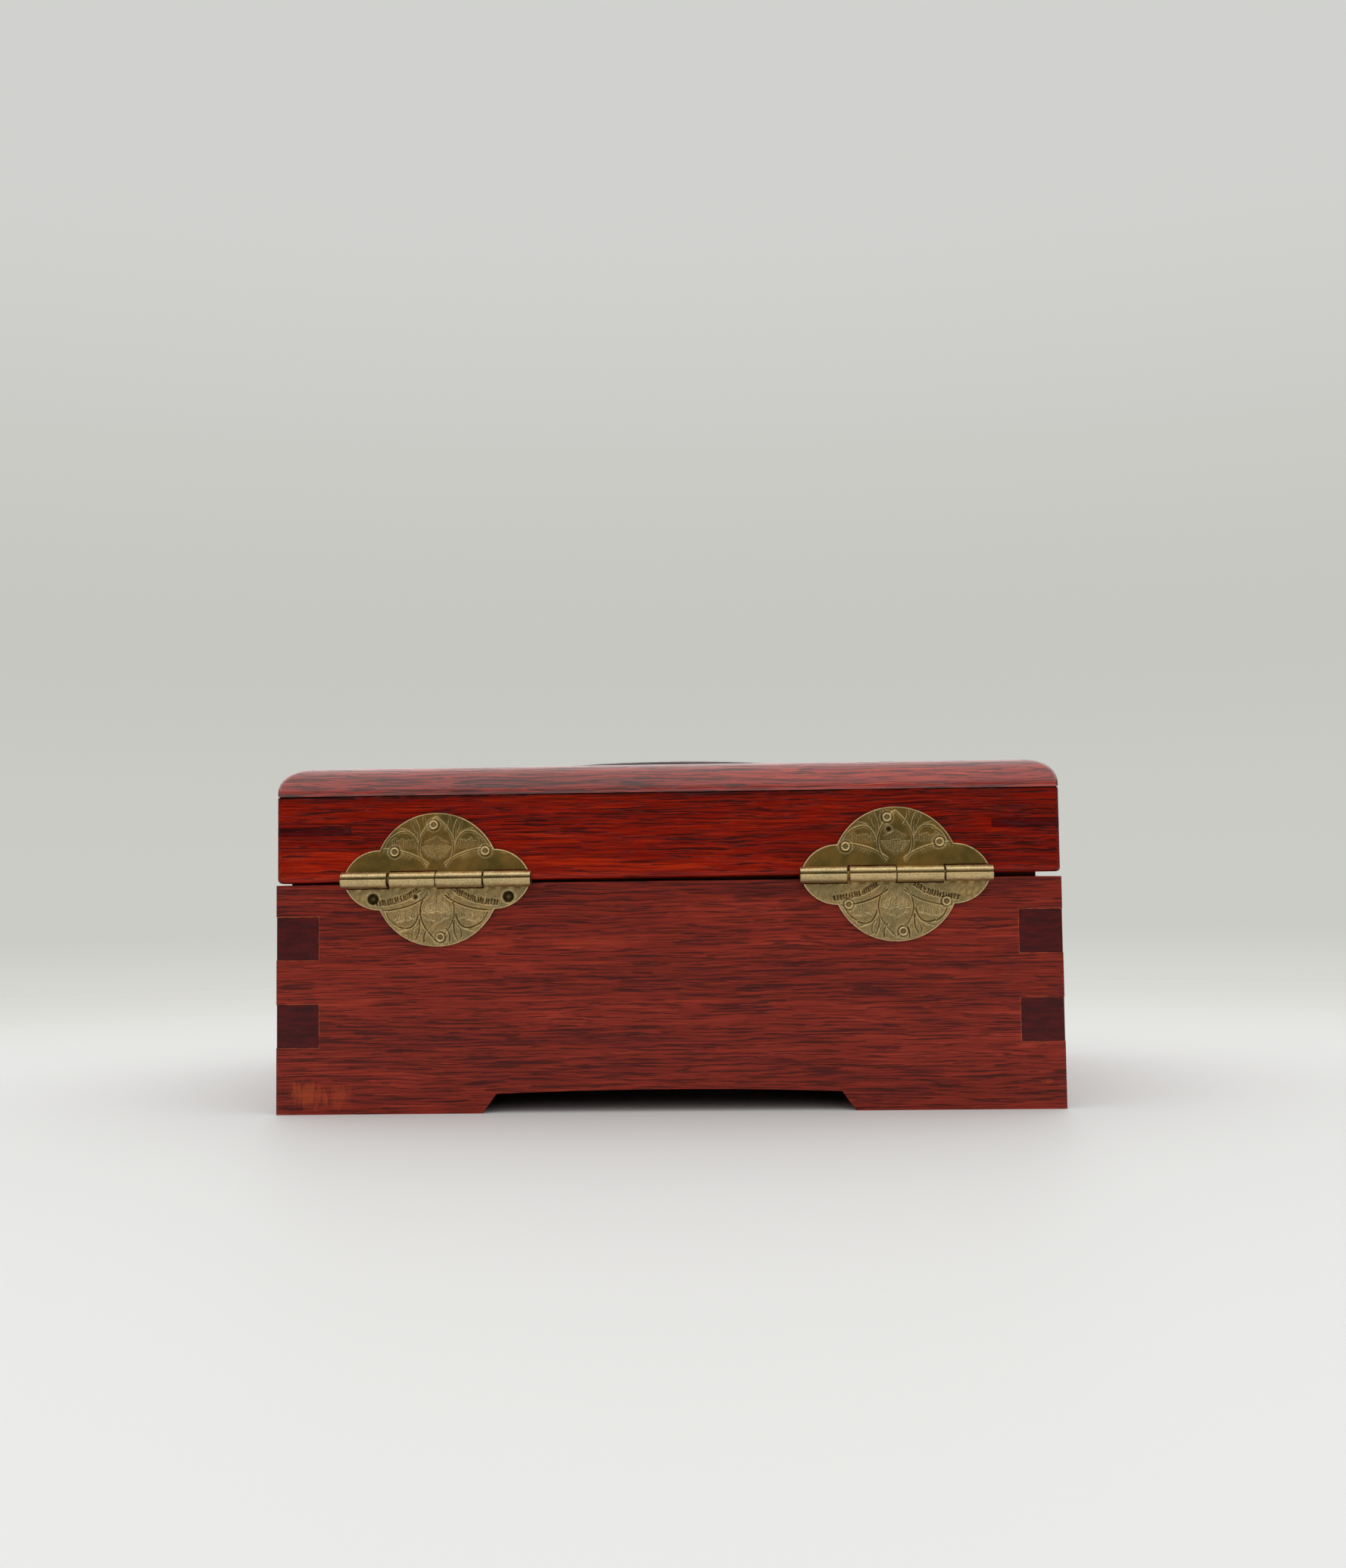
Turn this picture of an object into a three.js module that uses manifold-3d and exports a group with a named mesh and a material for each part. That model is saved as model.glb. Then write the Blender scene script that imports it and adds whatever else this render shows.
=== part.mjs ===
// A hinged rosewood jewellery box: finger-jointed case, mitred lid with a framed stone disc,
// brass hinges behind and a brass hasp in front. Millimetres, +Z up, the front faces -Y.
import * as THREE from 'three';
import { mergeVertices } from 'three/addons/utils/BufferGeometryUtils.js';
import Module from 'manifold-3d';

const wasm = await Module();
wasm.setup();

// Overall sizes
const LENGTH = 203;
const DEPTH = 127;
const WALL = 11;
const CASE_HEIGHT = 59.15;
const LID_BOTTOM = 60.35;
const LID_TOP = 89.8;
const BOARD_THICKNESS = 7.5;
const BOARD_ROUNDOVER = 6.5;
const GAP = 0.3;
const THIN_GAP = 0.12;

// Case joinery
const FINGERS = [[17.2, 28.2], [39.8, 50.8]];
const BOTTOM_LOW = 9.15;
const BOTTOM_THICKNESS = 4;
const GROOVE_DEPTH = 5;
const FOOT_ARCH = { low: 5, rise: 0.8, slant: 3.6 };
const LONG_ARCH_HALF = 48;
const SHORT_ARCH_HALF = 29.5;

// A low tongue round the case rim fits a rebate in the lid; on the right it is set in less
const TONGUE = { height: 2.75, setIn: 5.5, setInRight: 2.6 };

// Linings
const LINER = 2.4;
const PAD_THICKNESS = 3.2;
const LID_LINING_THICKNESS = 4;

// Lid corner keys
const KEY_LOW = 71.9;
const KEY_THICKNESS = 2.4;
const KEY_LEG = { right: 19.6, left: 17.5 };

// Framed stone disc in the lid
const BEZEL_RADIUS = 40;
const BEZEL_WIDTH = 6.5;
const BEZEL_TOP = 92.1;
const RECESS_DEPTH = 2;
const STONE_TOP = 91.6;

// Hinges
const HINGE_AT = [59.4, -59.1];
const BARREL_RADIUS = 2.05;
const BARREL_BORE = 1.25;
const HINGE_PIN_RADIUS = 1.15;
const BARREL_HALF = 24.6;
const AXIS_Z = 60.25;
const LEAF_THICKNESS = 0.9;
const KNUCKLES = 4;
const KNUCKLE_GAP = 0.35;

// Leaf outline, from the middle of its straight edge
const CROWN = { y: 1, r: 16.4 };
const SHOULDER = { x: 15, y: -1.9, r: 9.7 };

// Nails, each [across, up] from the hinge or plate centre
const NAIL_HEAD = 1.25;
const NAIL_SHANK = 0.55;
const NAIL_LENGTH = 7;
const NAIL_HOLE = 0.8;
const HINGE_NAILS = [
  { upper: [[0.7, 14.2], [10.9, 7.3], [-12.7, 7.3]], lower: [[16.6, -4.9], [-18.6, -4.6], [-0.9, -14.9]] },
  { upper: [[2, 14.6], [12.8, 7.2], [-11.3, 8.1]], lower: [[12.2, -7.7], [-12.8, -7.1], [-1.6, -14.7]] },
];
const LOCK_NAILS = { upper: [[0, 15.3], [15.5, 5.2], [-15.5, 5.2]], lower: [[15.5, -5.2], [-15.5, -5.2]] };

// Hasp and staple
const PLATE_THICKNESS = 1;
const HASP_AXIS = { out: 3, z: LID_BOTTOM + 11.5 };
const HASP_BARREL = 1.7;
const HASP_BORE = 0.9;
const HASP_PIN = 0.8;
const HASP_HALF = 3;
const EAR_WIDTH = 2.8;
const HASP_THICKNESS = 1.4;
const HASP_SLOT = { half: 1.9, low: 48, high: 58.4 };
const HASP_TIP_Z = 44.4;
const STAPLE = { z: 53.5, halfGap: 3.2, wire: 1.05, out: 9, in: 6 };

// The wood sits so that the metal behind and in front of it balances about the origin
const FRONT_PROUD = STAPLE.out;
const BACK_PROUD = 2 * BARREL_RADIUS;
const WOOD_Y = (FRONT_PROUD - BACK_PROUD) / 2;
const BACK_FACE = WOOD_Y + DEPTH / 2;
const FRONT_FACE = WOOD_Y - DEPTH / 2;
const AXIS_Y = BACK_FACE + BARREL_RADIUS;
const HALF = LENGTH / 2;
const BOARD_LOW = LID_TOP - BOARD_THICKNESS;
const BOTTOM_TOP = BOTTOM_LOW + BOTTOM_THICKNESS;
const RIM_TOP = CASE_HEIGHT + TONGUE.height;
const RIM = {
  left: -HALF + TONGUE.setIn, right: HALF - TONGUE.setInRight,
  front: FRONT_FACE + TONGUE.setIn, back: BACK_FACE - TONGUE.setIn,
};
const LINER_OUT = { x: HALF - WALL - GAP, y: DEPTH / 2 - WALL - GAP };
const LINER_IN = { x: LINER_OUT.x - LINER, y: LINER_OUT.y - LINER };

// Materials
const material = (color, roughness, metalness) =>
  new THREE.MeshStandardMaterial({ color, roughness, metalness });
const caseWood = material(0x67261c, 0.42, 0);
const lidWood = material(0x6a1307, 0.32, 0);
const darkWood = material(0x43181a, 0.4, 0);
const lining = material(0x5a1518, 0.95, 0);
const brass = material(0x8b764a, 0.4, 1);
const jade = material(0xb9c9ac, 0.25, 0);

// Solids in and out of the boolean library
function solidOf(geometry) {
  const bare = geometry.clone();
  bare.deleteAttribute('normal');
  bare.deleteAttribute('uv');
  const merged = mergeVertices(bare, 1e-4);
  const mesh = new wasm.Mesh({
    numProp: 3,
    vertProperties: new Float32Array(merged.attributes.position.array),
    triVerts: new Uint32Array(merged.index.array),
  });
  return new wasm.Manifold(mesh);
}

function geometryOf(solid) {
  const mesh = solid.getMesh();
  const geometry = new THREE.BufferGeometry();
  geometry.setAttribute('position', new THREE.BufferAttribute(new Float32Array(mesh.vertProperties), 3));
  geometry.setIndex(new THREE.BufferAttribute(new Uint32Array(mesh.triVerts), 1));
  geometry.computeVertexNormals();
  return geometry;
}

const join = (first, ...others) => others.reduce((sum, other) => sum.add(other), first);
const cut = (first, ...others) => others.reduce((rest, other) => rest.subtract(other), first);

// Basic shapes
function block(x0, x1, y0, y1, z0, z1) {
  const geometry = new THREE.BoxGeometry(x1 - x0, y1 - y0, z1 - z0);
  return solidOf(geometry.translate((x0 + x1) / 2, (y0 + y1) / 2, (z0 + z1) / 2));
}

function extrudeUp(shape, z0, z1) {
  const geometry = new THREE.ExtrudeGeometry(shape, { depth: z1 - z0, bevelEnabled: false });
  return solidOf(geometry.translate(0, 0, z0));
}

// The shape's own x and y become the part's X and Z
function extrudeBack(shape, y0, y1) {
  const geometry = new THREE.ExtrudeGeometry(shape, { depth: y1 - y0, bevelEnabled: false });
  return solidOf(geometry.rotateX(Math.PI / 2).translate(0, y1, 0));
}

// The shape's own x and y become the part's Y and Z
function extrudeAcross(shape, x0, x1) {
  const geometry = new THREE.ExtrudeGeometry(shape, { depth: x1 - x0, bevelEnabled: false });
  const turn = new THREE.Matrix4().makeBasis(
    new THREE.Vector3(0, 1, 0), new THREE.Vector3(0, 0, 1), new THREE.Vector3(1, 0, 0));
  return solidOf(geometry.applyMatrix4(turn).translate(x0, 0, 0));
}

function rodAcross(x0, x1, y, z, radius, sides = 24) {
  const geometry = new THREE.CylinderGeometry(radius, radius, x1 - x0, sides);
  return solidOf(geometry.rotateZ(Math.PI / 2).translate((x0 + x1) / 2, y, z));
}

function rodBack(x, z, y0, y1, radius, sides = 12) {
  const geometry = new THREE.CylinderGeometry(radius, radius, y1 - y0, sides);
  return solidOf(geometry.translate(x, (y0 + y1) / 2, z));
}

function turned(points, sides, x = 0, y = 0, z = 0) {
  const profile = points.map(([r, h]) => new THREE.Vector2(r, h));
  return solidOf(new THREE.LatheGeometry(profile, sides).rotateX(Math.PI / 2).translate(x, y, z));
}

const object = new THREE.Group();
function add(name, solid, finish) {
  const mesh = new THREE.Mesh(geometryOf(solid), finish);
  mesh.name = name;
  object.add(mesh);
}

// The low arch sawn out of a panel's bottom edge, leaving a foot at each end
function footArch(halfWidth) {
  const top = halfWidth - FOOT_ARCH.slant;
  const below = 1;
  const flare = halfWidth + (FOOT_ARCH.slant * below) / FOOT_ARCH.low;
  const shape = new THREE.Shape();
  shape.moveTo(-flare, -below);
  shape.lineTo(flare, -below);
  shape.lineTo(top, FOOT_ARCH.low);
  shape.quadraticCurveTo(0, FOOT_ARCH.low + 2 * FOOT_ARCH.rise, -top, FOOT_ARCH.low);
  shape.closePath();
  return shape;
}

// Case
function longPanel(y0, y1) {
  const inward = y0 < WOOD_Y ? 1 : -1;
  const inner = inward > 0 ? y1 : y0;
  const grooveY = [inner - inward * GROOVE_DEPTH, inner + inward].sort((a, b) => a - b);
  const notches = FINGERS.flatMap(([low, high]) => [-1, 1].map((side) => {
    const xs = [side * (HALF - WALL - GAP), side * (HALF + 1)].sort((a, b) => a - b);
    return block(xs[0], xs[1], y0 - 1, y1 + 1, low - GAP, high + GAP);
  }));
  const grooveX = HALF - WALL + GROOVE_DEPTH;
  const rimY = [inner, inward > 0 ? RIM.front : RIM.back].sort((a, b) => a - b);
  return cut(
    join(
      block(-HALF, HALF, y0, y1, 0, CASE_HEIGHT),
      block(RIM.left, RIM.right, ...rimY, BOTTOM_TOP, RIM_TOP),
    ),
    extrudeBack(footArch(LONG_ARCH_HALF), y0 - 1, y1 + 1),
    block(-grooveX, grooveX, ...grooveY, BOTTOM_LOW - GAP, BOTTOM_TOP + GAP),
    ...notches,
  );
}

function sidePanel(side) {
  const outer = side * HALF;
  const inner = side * (HALF - WALL);
  const [x0, x1] = [outer, inner].sort((a, b) => a - b);
  const groove = [inner + side * GROOVE_DEPTH, inner - side].sort((a, b) => a - b);
  const reach = DEPTH / 2 - WALL - GAP;
  const fingers = FINGERS.map(([low, high]) => block(x0, x1, FRONT_FACE, BACK_FACE, low, high));
  const body = block(x0, x1, WOOD_Y - reach, WOOD_Y + reach, 0, CASE_HEIGHT);
  const rimX = [inner, side > 0 ? RIM.right : RIM.left].sort((a, b) => a - b);
  const rim = block(...rimX, WOOD_Y - reach, WOOD_Y + reach, BOTTOM_TOP, RIM_TOP);
  return cut(
    join(body, rim, ...fingers),
    extrudeAcross(footArch(SHORT_ARCH_HALF), x0 - 1, x1 + 1).translate([0, WOOD_Y, 0]),
    block(...groove, WOOD_Y - reach - 1, WOOD_Y + reach + 1, BOTTOM_LOW - GAP, BOTTOM_TOP + GAP),
  );
}

function nailHoles(nails, x, z, y0, y1, radius = NAIL_HOLE) {
  return nails.map(([across, up]) => rodBack(x + across, z + up, y0, y1, radius));
}

function addCase() {
  const backHoles = HINGE_AT.flatMap((x, i) =>
    nailHoles(HINGE_NAILS[i].lower, x, AXIS_Z, BACK_FACE - NAIL_LENGTH, BACK_FACE + 1));
  const frontHoles = nailHoles(LOCK_NAILS.lower, 0, CASE_HEIGHT, FRONT_FACE - 1, FRONT_FACE + NAIL_LENGTH);
  const stapleHoles = [-1, 1].map((side) => rodBack(
    0, STAPLE.z + side * STAPLE.halfGap, FRONT_FACE - 1, FRONT_FACE + STAPLE.in + GAP, STAPLE.wire + GAP));
  const front = longPanel(FRONT_FACE, FRONT_FACE + WALL);
  add('case_front_panel', cut(front, ...frontHoles, ...stapleHoles), caseWood);
  add('case_back_panel', cut(longPanel(BACK_FACE - WALL, BACK_FACE), ...backHoles), caseWood);
  add('case_left_panel', sidePanel(-1), darkWood);
  add('case_right_panel', sidePanel(1), darkWood);
  const floorX = HALF - WALL + GROOVE_DEPTH - GAP;
  const floorY = DEPTH / 2 - WALL + GROOVE_DEPTH - GAP;
  add('case_bottom_panel',
    block(-floorX, floorX, WOOD_Y - floorY, WOOD_Y + floorY, BOTTOM_LOW, BOTTOM_TOP), darkWood);
}

function addLinings() {
  const z0 = BOTTOM_TOP + GAP;
  const z1 = RIM_TOP;
  for (const [name, side] of [['front', -1], ['back', 1]]) {
    const ys = [side * LINER_IN.y, side * LINER_OUT.y].sort((a, b) => a - b).map((y) => y + WOOD_Y);
    add(`case_lining_${name}`, block(-LINER_OUT.x, LINER_OUT.x, ...ys, z0, z1), lining);
  }
  for (const [name, side] of [['left', -1], ['right', 1]]) {
    const xs = [side * LINER_IN.x, side * LINER_OUT.x].sort((a, b) => a - b);
    const y = LINER_IN.y - GAP;
    add(`case_lining_${name}`, block(...xs, WOOD_Y - y, WOOD_Y + y, z0, z1), lining);
  }
  const pad = { x: LINER_IN.x - GAP, y: LINER_IN.y - GAP };
  add('case_base_pad', block(-pad.x, pad.x, WOOD_Y - pad.y, WOOD_Y + pad.y, z0, z0 + PAD_THICKNESS), lining);
}

// Lid
function cornerKey(sideX, sideY, grow) {
  const leg = (sideX > 0 ? KEY_LEG.right : KEY_LEG.left) + grow;
  const past = grow ? 1 : 0;
  const corner = [sideX * (HALF + past), WOOD_Y + sideY * (DEPTH / 2 + past)];
  const shape = new THREE.Shape();
  shape.moveTo(...corner);
  shape.lineTo(corner[0] - sideX * (leg + past * 2), corner[1]);
  shape.lineTo(corner[0], corner[1] - sideY * (leg + past * 2));
  shape.closePath();
  return extrudeUp(shape, KEY_LOW - grow, KEY_LOW + KEY_THICKNESS + grow);
}

const CORNERS = [[1, 1], [1, -1], [-1, 1], [-1, -1]];

function lidRail(half, inwardHalf, place) {
  const step = (GAP / 2) * Math.SQRT2;
  const shape = new THREE.Shape();
  shape.moveTo(-half + step, inwardHalf);
  shape.lineTo(half - step, inwardHalf);
  shape.lineTo(half - WALL - step, inwardHalf - WALL);
  shape.lineTo(-half + WALL + step, inwardHalf - WALL);
  shape.closePath();
  const rail = extrudeUp(shape, LID_BOTTOM, BOARD_LOW - GAP).rotate([0, 0, place]).translate([0, WOOD_Y, 0]);
  const rebate = block(
    RIM.left - GAP, RIM.right + GAP, RIM.front - GAP, RIM.back + GAP, LID_BOTTOM - 1, RIM_TOP + GAP);
  return cut(rail, rebate, ...CORNERS.map(([x, y]) => cornerKey(x, y, GAP)));
}

function topBoard() {
  const inset = BOARD_ROUNDOVER;
  const shape = new THREE.Shape();
  shape.moveTo(-HALF, -DEPTH / 2);
  shape.lineTo(HALF, -DEPTH / 2);
  shape.lineTo(HALF, DEPTH / 2);
  shape.lineTo(-HALF, DEPTH / 2);
  shape.closePath();
  const slab = new THREE.ExtrudeGeometry(shape, {
    depth: 2 * inset, bevelThickness: inset, bevelSize: inset, bevelOffset: -inset, bevelSegments: 5,
  });
  slab.translate(0, WOOD_Y, LID_TOP - 3 * inset);
  const below = block(-HALF - 1, HALF + 1, FRONT_FACE - 1, BACK_FACE + 1, LID_TOP - 5 * inset, BOARD_LOW);
  const recess = turned(
    [[0, -RECESS_DEPTH], [BEZEL_RADIUS + GAP, -RECESS_DEPTH], [BEZEL_RADIUS + GAP, 1], [0, 1]],
    48, 0, WOOD_Y, LID_TOP);
  return cut(solidOf(slab), below, recess);
}

function addLid() {
  const upperNails = HINGE_AT.flatMap((x, i) =>
    nailHoles(HINGE_NAILS[i].upper, x, AXIS_Z, BACK_FACE - NAIL_LENGTH, BACK_FACE + 1));
  const lockNails = nailHoles(LOCK_NAILS.upper, 0, LID_BOTTOM, FRONT_FACE - 1, FRONT_FACE + NAIL_LENGTH);
  add('lid_top_board', topBoard(), lidWood);
  add('lid_back_rail', cut(lidRail(HALF, DEPTH / 2, 0), ...upperNails), lidWood);
  add('lid_front_rail', cut(lidRail(HALF, DEPTH / 2, 180), ...lockNails), lidWood);
  add('lid_left_rail', lidRail(DEPTH / 2, HALF, 90), lidWood);
  add('lid_right_rail', lidRail(DEPTH / 2, HALF, -90), lidWood);
  const names = ['back_right', 'front_right', 'back_left', 'front_left'];
  CORNERS.forEach(([x, y], i) => add(`lid_corner_key_${names[i]}`, cornerKey(x, y, 0), darkWood));
  const bezelLow = LID_TOP - RECESS_DEPTH + THIN_GAP;
  const inside = BEZEL_RADIUS - BEZEL_WIDTH;
  add('medallion_bezel', turned([
    [inside, bezelLow], [BEZEL_RADIUS, bezelLow], [BEZEL_RADIUS, BEZEL_TOP - 1.2],
    [BEZEL_RADIUS - 0.5, BEZEL_TOP - 0.35], [BEZEL_RADIUS - 1.4, BEZEL_TOP],
    [inside + 1.2, BEZEL_TOP], [inside, BEZEL_TOP - 0.8], [inside, bezelLow],
  ], 48, 0, WOOD_Y), darkWood);
  const disc = inside - GAP;
  add('medallion_stone', turned([
    [0, bezelLow], [disc, bezelLow], [disc, STONE_TOP - 1.2], [disc - 1.2, STONE_TOP - 0.3],
    [disc - 3, STONE_TOP], [0, STONE_TOP],
  ], 48, 0, WOOD_Y), jade);
  const panel = { x: HALF - WALL - 2.5, y: DEPTH / 2 - WALL - 2.5 };
  add('lid_lining_panel', block(-panel.x, panel.x, WOOD_Y - panel.y, WOOD_Y + panel.y,
    BOARD_LOW - GAP - LID_LINING_THICKNESS, BOARD_LOW - GAP), lining);
}

// Hinges: a crowned leaf with a shoulder at each side, shared by the lock plates
function leafOutline() {
  const spread = Math.hypot(SHOULDER.x, CROWN.y - SHOULDER.y);
  const along = (CROWN.r ** 2 - SHOULDER.r ** 2 + spread ** 2) / (2 * spread);
  const toShoulder = Math.atan2(SHOULDER.y - CROWN.y, SHOULDER.x);
  const cusp = toShoulder + Math.acos(along / CROWN.r);
  const cuspFromShoulder = Math.atan2(
    CROWN.y + CROWN.r * Math.sin(cusp) - SHOULDER.y, CROWN.r * Math.cos(cusp) - SHOULDER.x);
  const foot = Math.asin(-SHOULDER.y / SHOULDER.r);
  const shape = new THREE.Shape();
  shape.absarc(SHOULDER.x, SHOULDER.y, SHOULDER.r, foot, cuspFromShoulder, false);
  shape.absarc(0, CROWN.y, CROWN.r, cusp, Math.PI - cusp, false);
  shape.absarc(-SHOULDER.x, SHOULDER.y, SHOULDER.r, Math.PI - cuspFromShoulder, Math.PI - foot, false);
  shape.closePath();
  return shape.getPoints(10);
}

function leafPlate(x, z, up, y0, y1) {
  const points = leafOutline().map((p) => new THREE.Vector2(x + p.x, z + up * p.y));
  return extrudeBack(new THREE.Shape(points), y0, y1);
}

function knuckleSpans(x, first) {
  const pitch = (2 * BARREL_HALF) / KNUCKLES;
  return [first, first + 2].map((k) => {
    const right = x + BARREL_HALF - k * pitch;
    return [right - pitch + KNUCKLE_GAP / 2, right - KNUCKLE_GAP / 2];
  });
}

function hingeLeaf(x, up, nails) {
  const [own, other] = up > 0 ? [0, 1] : [1, 0];
  const clear = BARREL_RADIUS + KNUCKLE_GAP;
  const zs = [AXIS_Z - up, AXIS_Z + up * clear].sort((a, b) => a - b);
  const windows = knuckleSpans(x, other).map(([x0, x1]) =>
    block(x0 - KNUCKLE_GAP, x1 + KNUCKLE_GAP, BACK_FACE - 1, AXIS_Y, ...zs));
  const tubes = knuckleSpans(x, own).map(([x0, x1]) => rodAcross(x0, x1, AXIS_Y, AXIS_Z, BARREL_RADIUS));
  const bore = rodAcross(x - BARREL_HALF - 1, x + BARREL_HALF + 1, AXIS_Y, AXIS_Z, BARREL_BORE);
  const leafBack = BACK_FACE + THIN_GAP;
  const plate = cut(leafPlate(x, AXIS_Z, up, leafBack, leafBack + LEAF_THICKNESS), ...windows);
  return cut(join(plate, ...tubes), bore, ...nailHoles(nails, x, AXIS_Z, BACK_FACE - 1, AXIS_Y));
}

// A round-headed nail whose head stands off the plate along `out`
function nail(x, z, plateFace, out) {
  const profile = [
    [0, -NAIL_LENGTH + GAP], [NAIL_SHANK, -NAIL_LENGTH + 1], [NAIL_SHANK, THIN_GAP], [NAIL_HEAD, THIN_GAP],
    [NAIL_HEAD, 0.35], [0.9, 0.66], [0.45, 0.82], [0, 0.86],
  ].map(([r, h]) => new THREE.Vector2(r, h));
  const geometry = new THREE.LatheGeometry(profile, 12);
  if (out < 0) geometry.rotateZ(Math.PI);
  return solidOf(geometry.translate(x, plateFace, z));
}

function addHinges() {
  HINGE_AT.forEach((x, i) => {
    const side = x > 0 ? 'right' : 'left';
    const nails = HINGE_NAILS[i];
    add(`hinge_leaf_upper_${side}`, hingeLeaf(x, 1, nails.upper), brass);
    add(`hinge_leaf_lower_${side}`, hingeLeaf(x, -1, nails.lower), brass);
    add(`hinge_pin_${side}`,
      rodAcross(x - BARREL_HALF, x + BARREL_HALF, AXIS_Y, AXIS_Z, HINGE_PIN_RADIUS), brass);
    for (const level of ['upper', 'lower']) {
      nails[level].forEach(([across, up], n) => add(`hinge_nail_${level}_${side}_${n + 1}`,
        nail(x + across, AXIS_Z + up, BACK_FACE + THIN_GAP + LEAF_THICKNESS, 1), brass));
    }
  });
}

// Lock: plates, hasp with its pin, staple
function haspOutline() {
  const shoulder = HASP_AXIS.z - 5;
  const shape = new THREE.Shape();
  shape.moveTo(HASP_HALF, HASP_AXIS.z);
  shape.lineTo(HASP_HALF, shoulder + 2);
  shape.quadraticCurveTo(HASP_HALF + 0.3, shoulder, HASP_HALF + 2.2, shoulder - 1.6);
  shape.quadraticCurveTo(HASP_HALF + 4.6, shoulder - 5, HASP_HALF + 2.2, shoulder - 9);
  shape.bezierCurveTo(HASP_HALF + 5.4, shoulder - 14, HASP_HALF + 2.6, HASP_TIP_Z + 1.6, 0, HASP_TIP_Z);
  const right = shape.getPoints(8);
  const left = right.slice(0, -1).reverse().map((p) => new THREE.Vector2(-p.x, p.y));
  return new THREE.Shape([...right, ...left]);
}

function addHasp() {
  const y = FRONT_FACE - HASP_AXIS.out;
  const z = HASP_AXIS.z;
  const plateFace = FRONT_FACE - THIN_GAP - PLATE_THICKNESS;
  const earOut = HASP_HALF + GAP + EAR_WIDTH;
  const bore = rodAcross(-earOut - 1, earOut + 1, y, z, HASP_BORE, 16);
  const ears = [-1, 1].map((side) => {
    const [x0, x1] = [side * (HASP_HALF + GAP), side * earOut].sort((a, b) => a - b);
    const foot = block(x0, x1, y, plateFace + 0.4, z - HASP_BARREL, z + HASP_BARREL);
    return join(rodAcross(x0, x1, y, z, HASP_BARREL, 16), foot);
  });
  const upper = leafPlate(0, LID_BOTTOM, 1, plateFace, FRONT_FACE - THIN_GAP);
  const lower = leafPlate(0, CASE_HEIGHT, -1, plateFace, FRONT_FACE - THIN_GAP);
  const legHoles = [-1, 1].map((side) => rodBack(
    0, STAPLE.z + side * STAPLE.halfGap, plateFace - 1, FRONT_FACE + 1, STAPLE.wire + GAP));
  const nailRun = [plateFace - 1, FRONT_FACE + 1];
  add('lock_plate_upper',
    cut(join(upper, ...ears), bore, ...nailHoles(LOCK_NAILS.upper, 0, LID_BOTTOM, ...nailRun)), brass);
  add('lock_plate_lower',
    cut(lower, ...legHoles, ...nailHoles(LOCK_NAILS.lower, 0, CASE_HEIGHT, ...nailRun)), brass);
  const slot = block(-HASP_SLOT.half, HASP_SLOT.half, y - 3, y + 3, HASP_SLOT.low, HASP_SLOT.high);
  const tongue = extrudeBack(haspOutline(), y - HASP_THICKNESS / 2, y + HASP_THICKNESS / 2);
  const knuckle = rodAcross(-HASP_HALF, HASP_HALF, y, z, HASP_BARREL, 16);
  add('hasp', cut(join(tongue, knuckle), bore, slot), brass);
  const headLow = earOut + THIN_GAP;
  const pin = join(rodAcross(-headLow - 0.9, headLow + 0.9, y, z, HASP_PIN, 16),
    rodAcross(headLow, headLow + 0.9, y, z, 1.3, 16), rodAcross(-headLow - 0.9, -headLow, y, z, 1.3, 16));
  add('hasp_pin', pin, brass);
  add('lock_staple', staple(), brass);
  for (const [level, base] of [['upper', LID_BOTTOM], ['lower', CASE_HEIGHT]]) {
    LOCK_NAILS[level].forEach(([across, up], n) =>
      add(`lock_nail_${level}_${n + 1}`, nail(across, base + up, plateFace, -1), brass));
  }
}

// A bent wire: in along one leg, round a half circle, back along the other
class StapleCurve extends THREE.Curve {
  getPoint(t, target = new THREE.Vector3()) {
    const leg = STAPLE.in + STAPLE.out - STAPLE.halfGap - STAPLE.wire;
    const bend = Math.PI * STAPLE.halfGap;
    const run = t * (2 * leg + bend);
    const bendY = FRONT_FACE - STAPLE.out + STAPLE.halfGap + STAPLE.wire;
    if (run < leg) return target.set(0, bendY + leg - run, STAPLE.z - STAPLE.halfGap);
    if (run > leg + bend) return target.set(0, bendY + run - leg - bend, STAPLE.z + STAPLE.halfGap);
    const turn = (run - leg) / STAPLE.halfGap;
    return target.set(0, bendY - STAPLE.halfGap * Math.sin(turn), STAPLE.z - STAPLE.halfGap * Math.cos(turn));
  }
}

function staple() {
  const wire = new THREE.Shape().absarc(0, 0, STAPLE.wire, 0, 2 * Math.PI, false);
  const options = { steps: 40, bevelEnabled: false, curveSegments: 10, extrudePath: new StapleCurve() };
  return solidOf(new THREE.ExtrudeGeometry(wire, options));
}

addCase();
addLinings();
addLid();
addHinges();
addHasp();

export default object;
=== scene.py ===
import math

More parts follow.
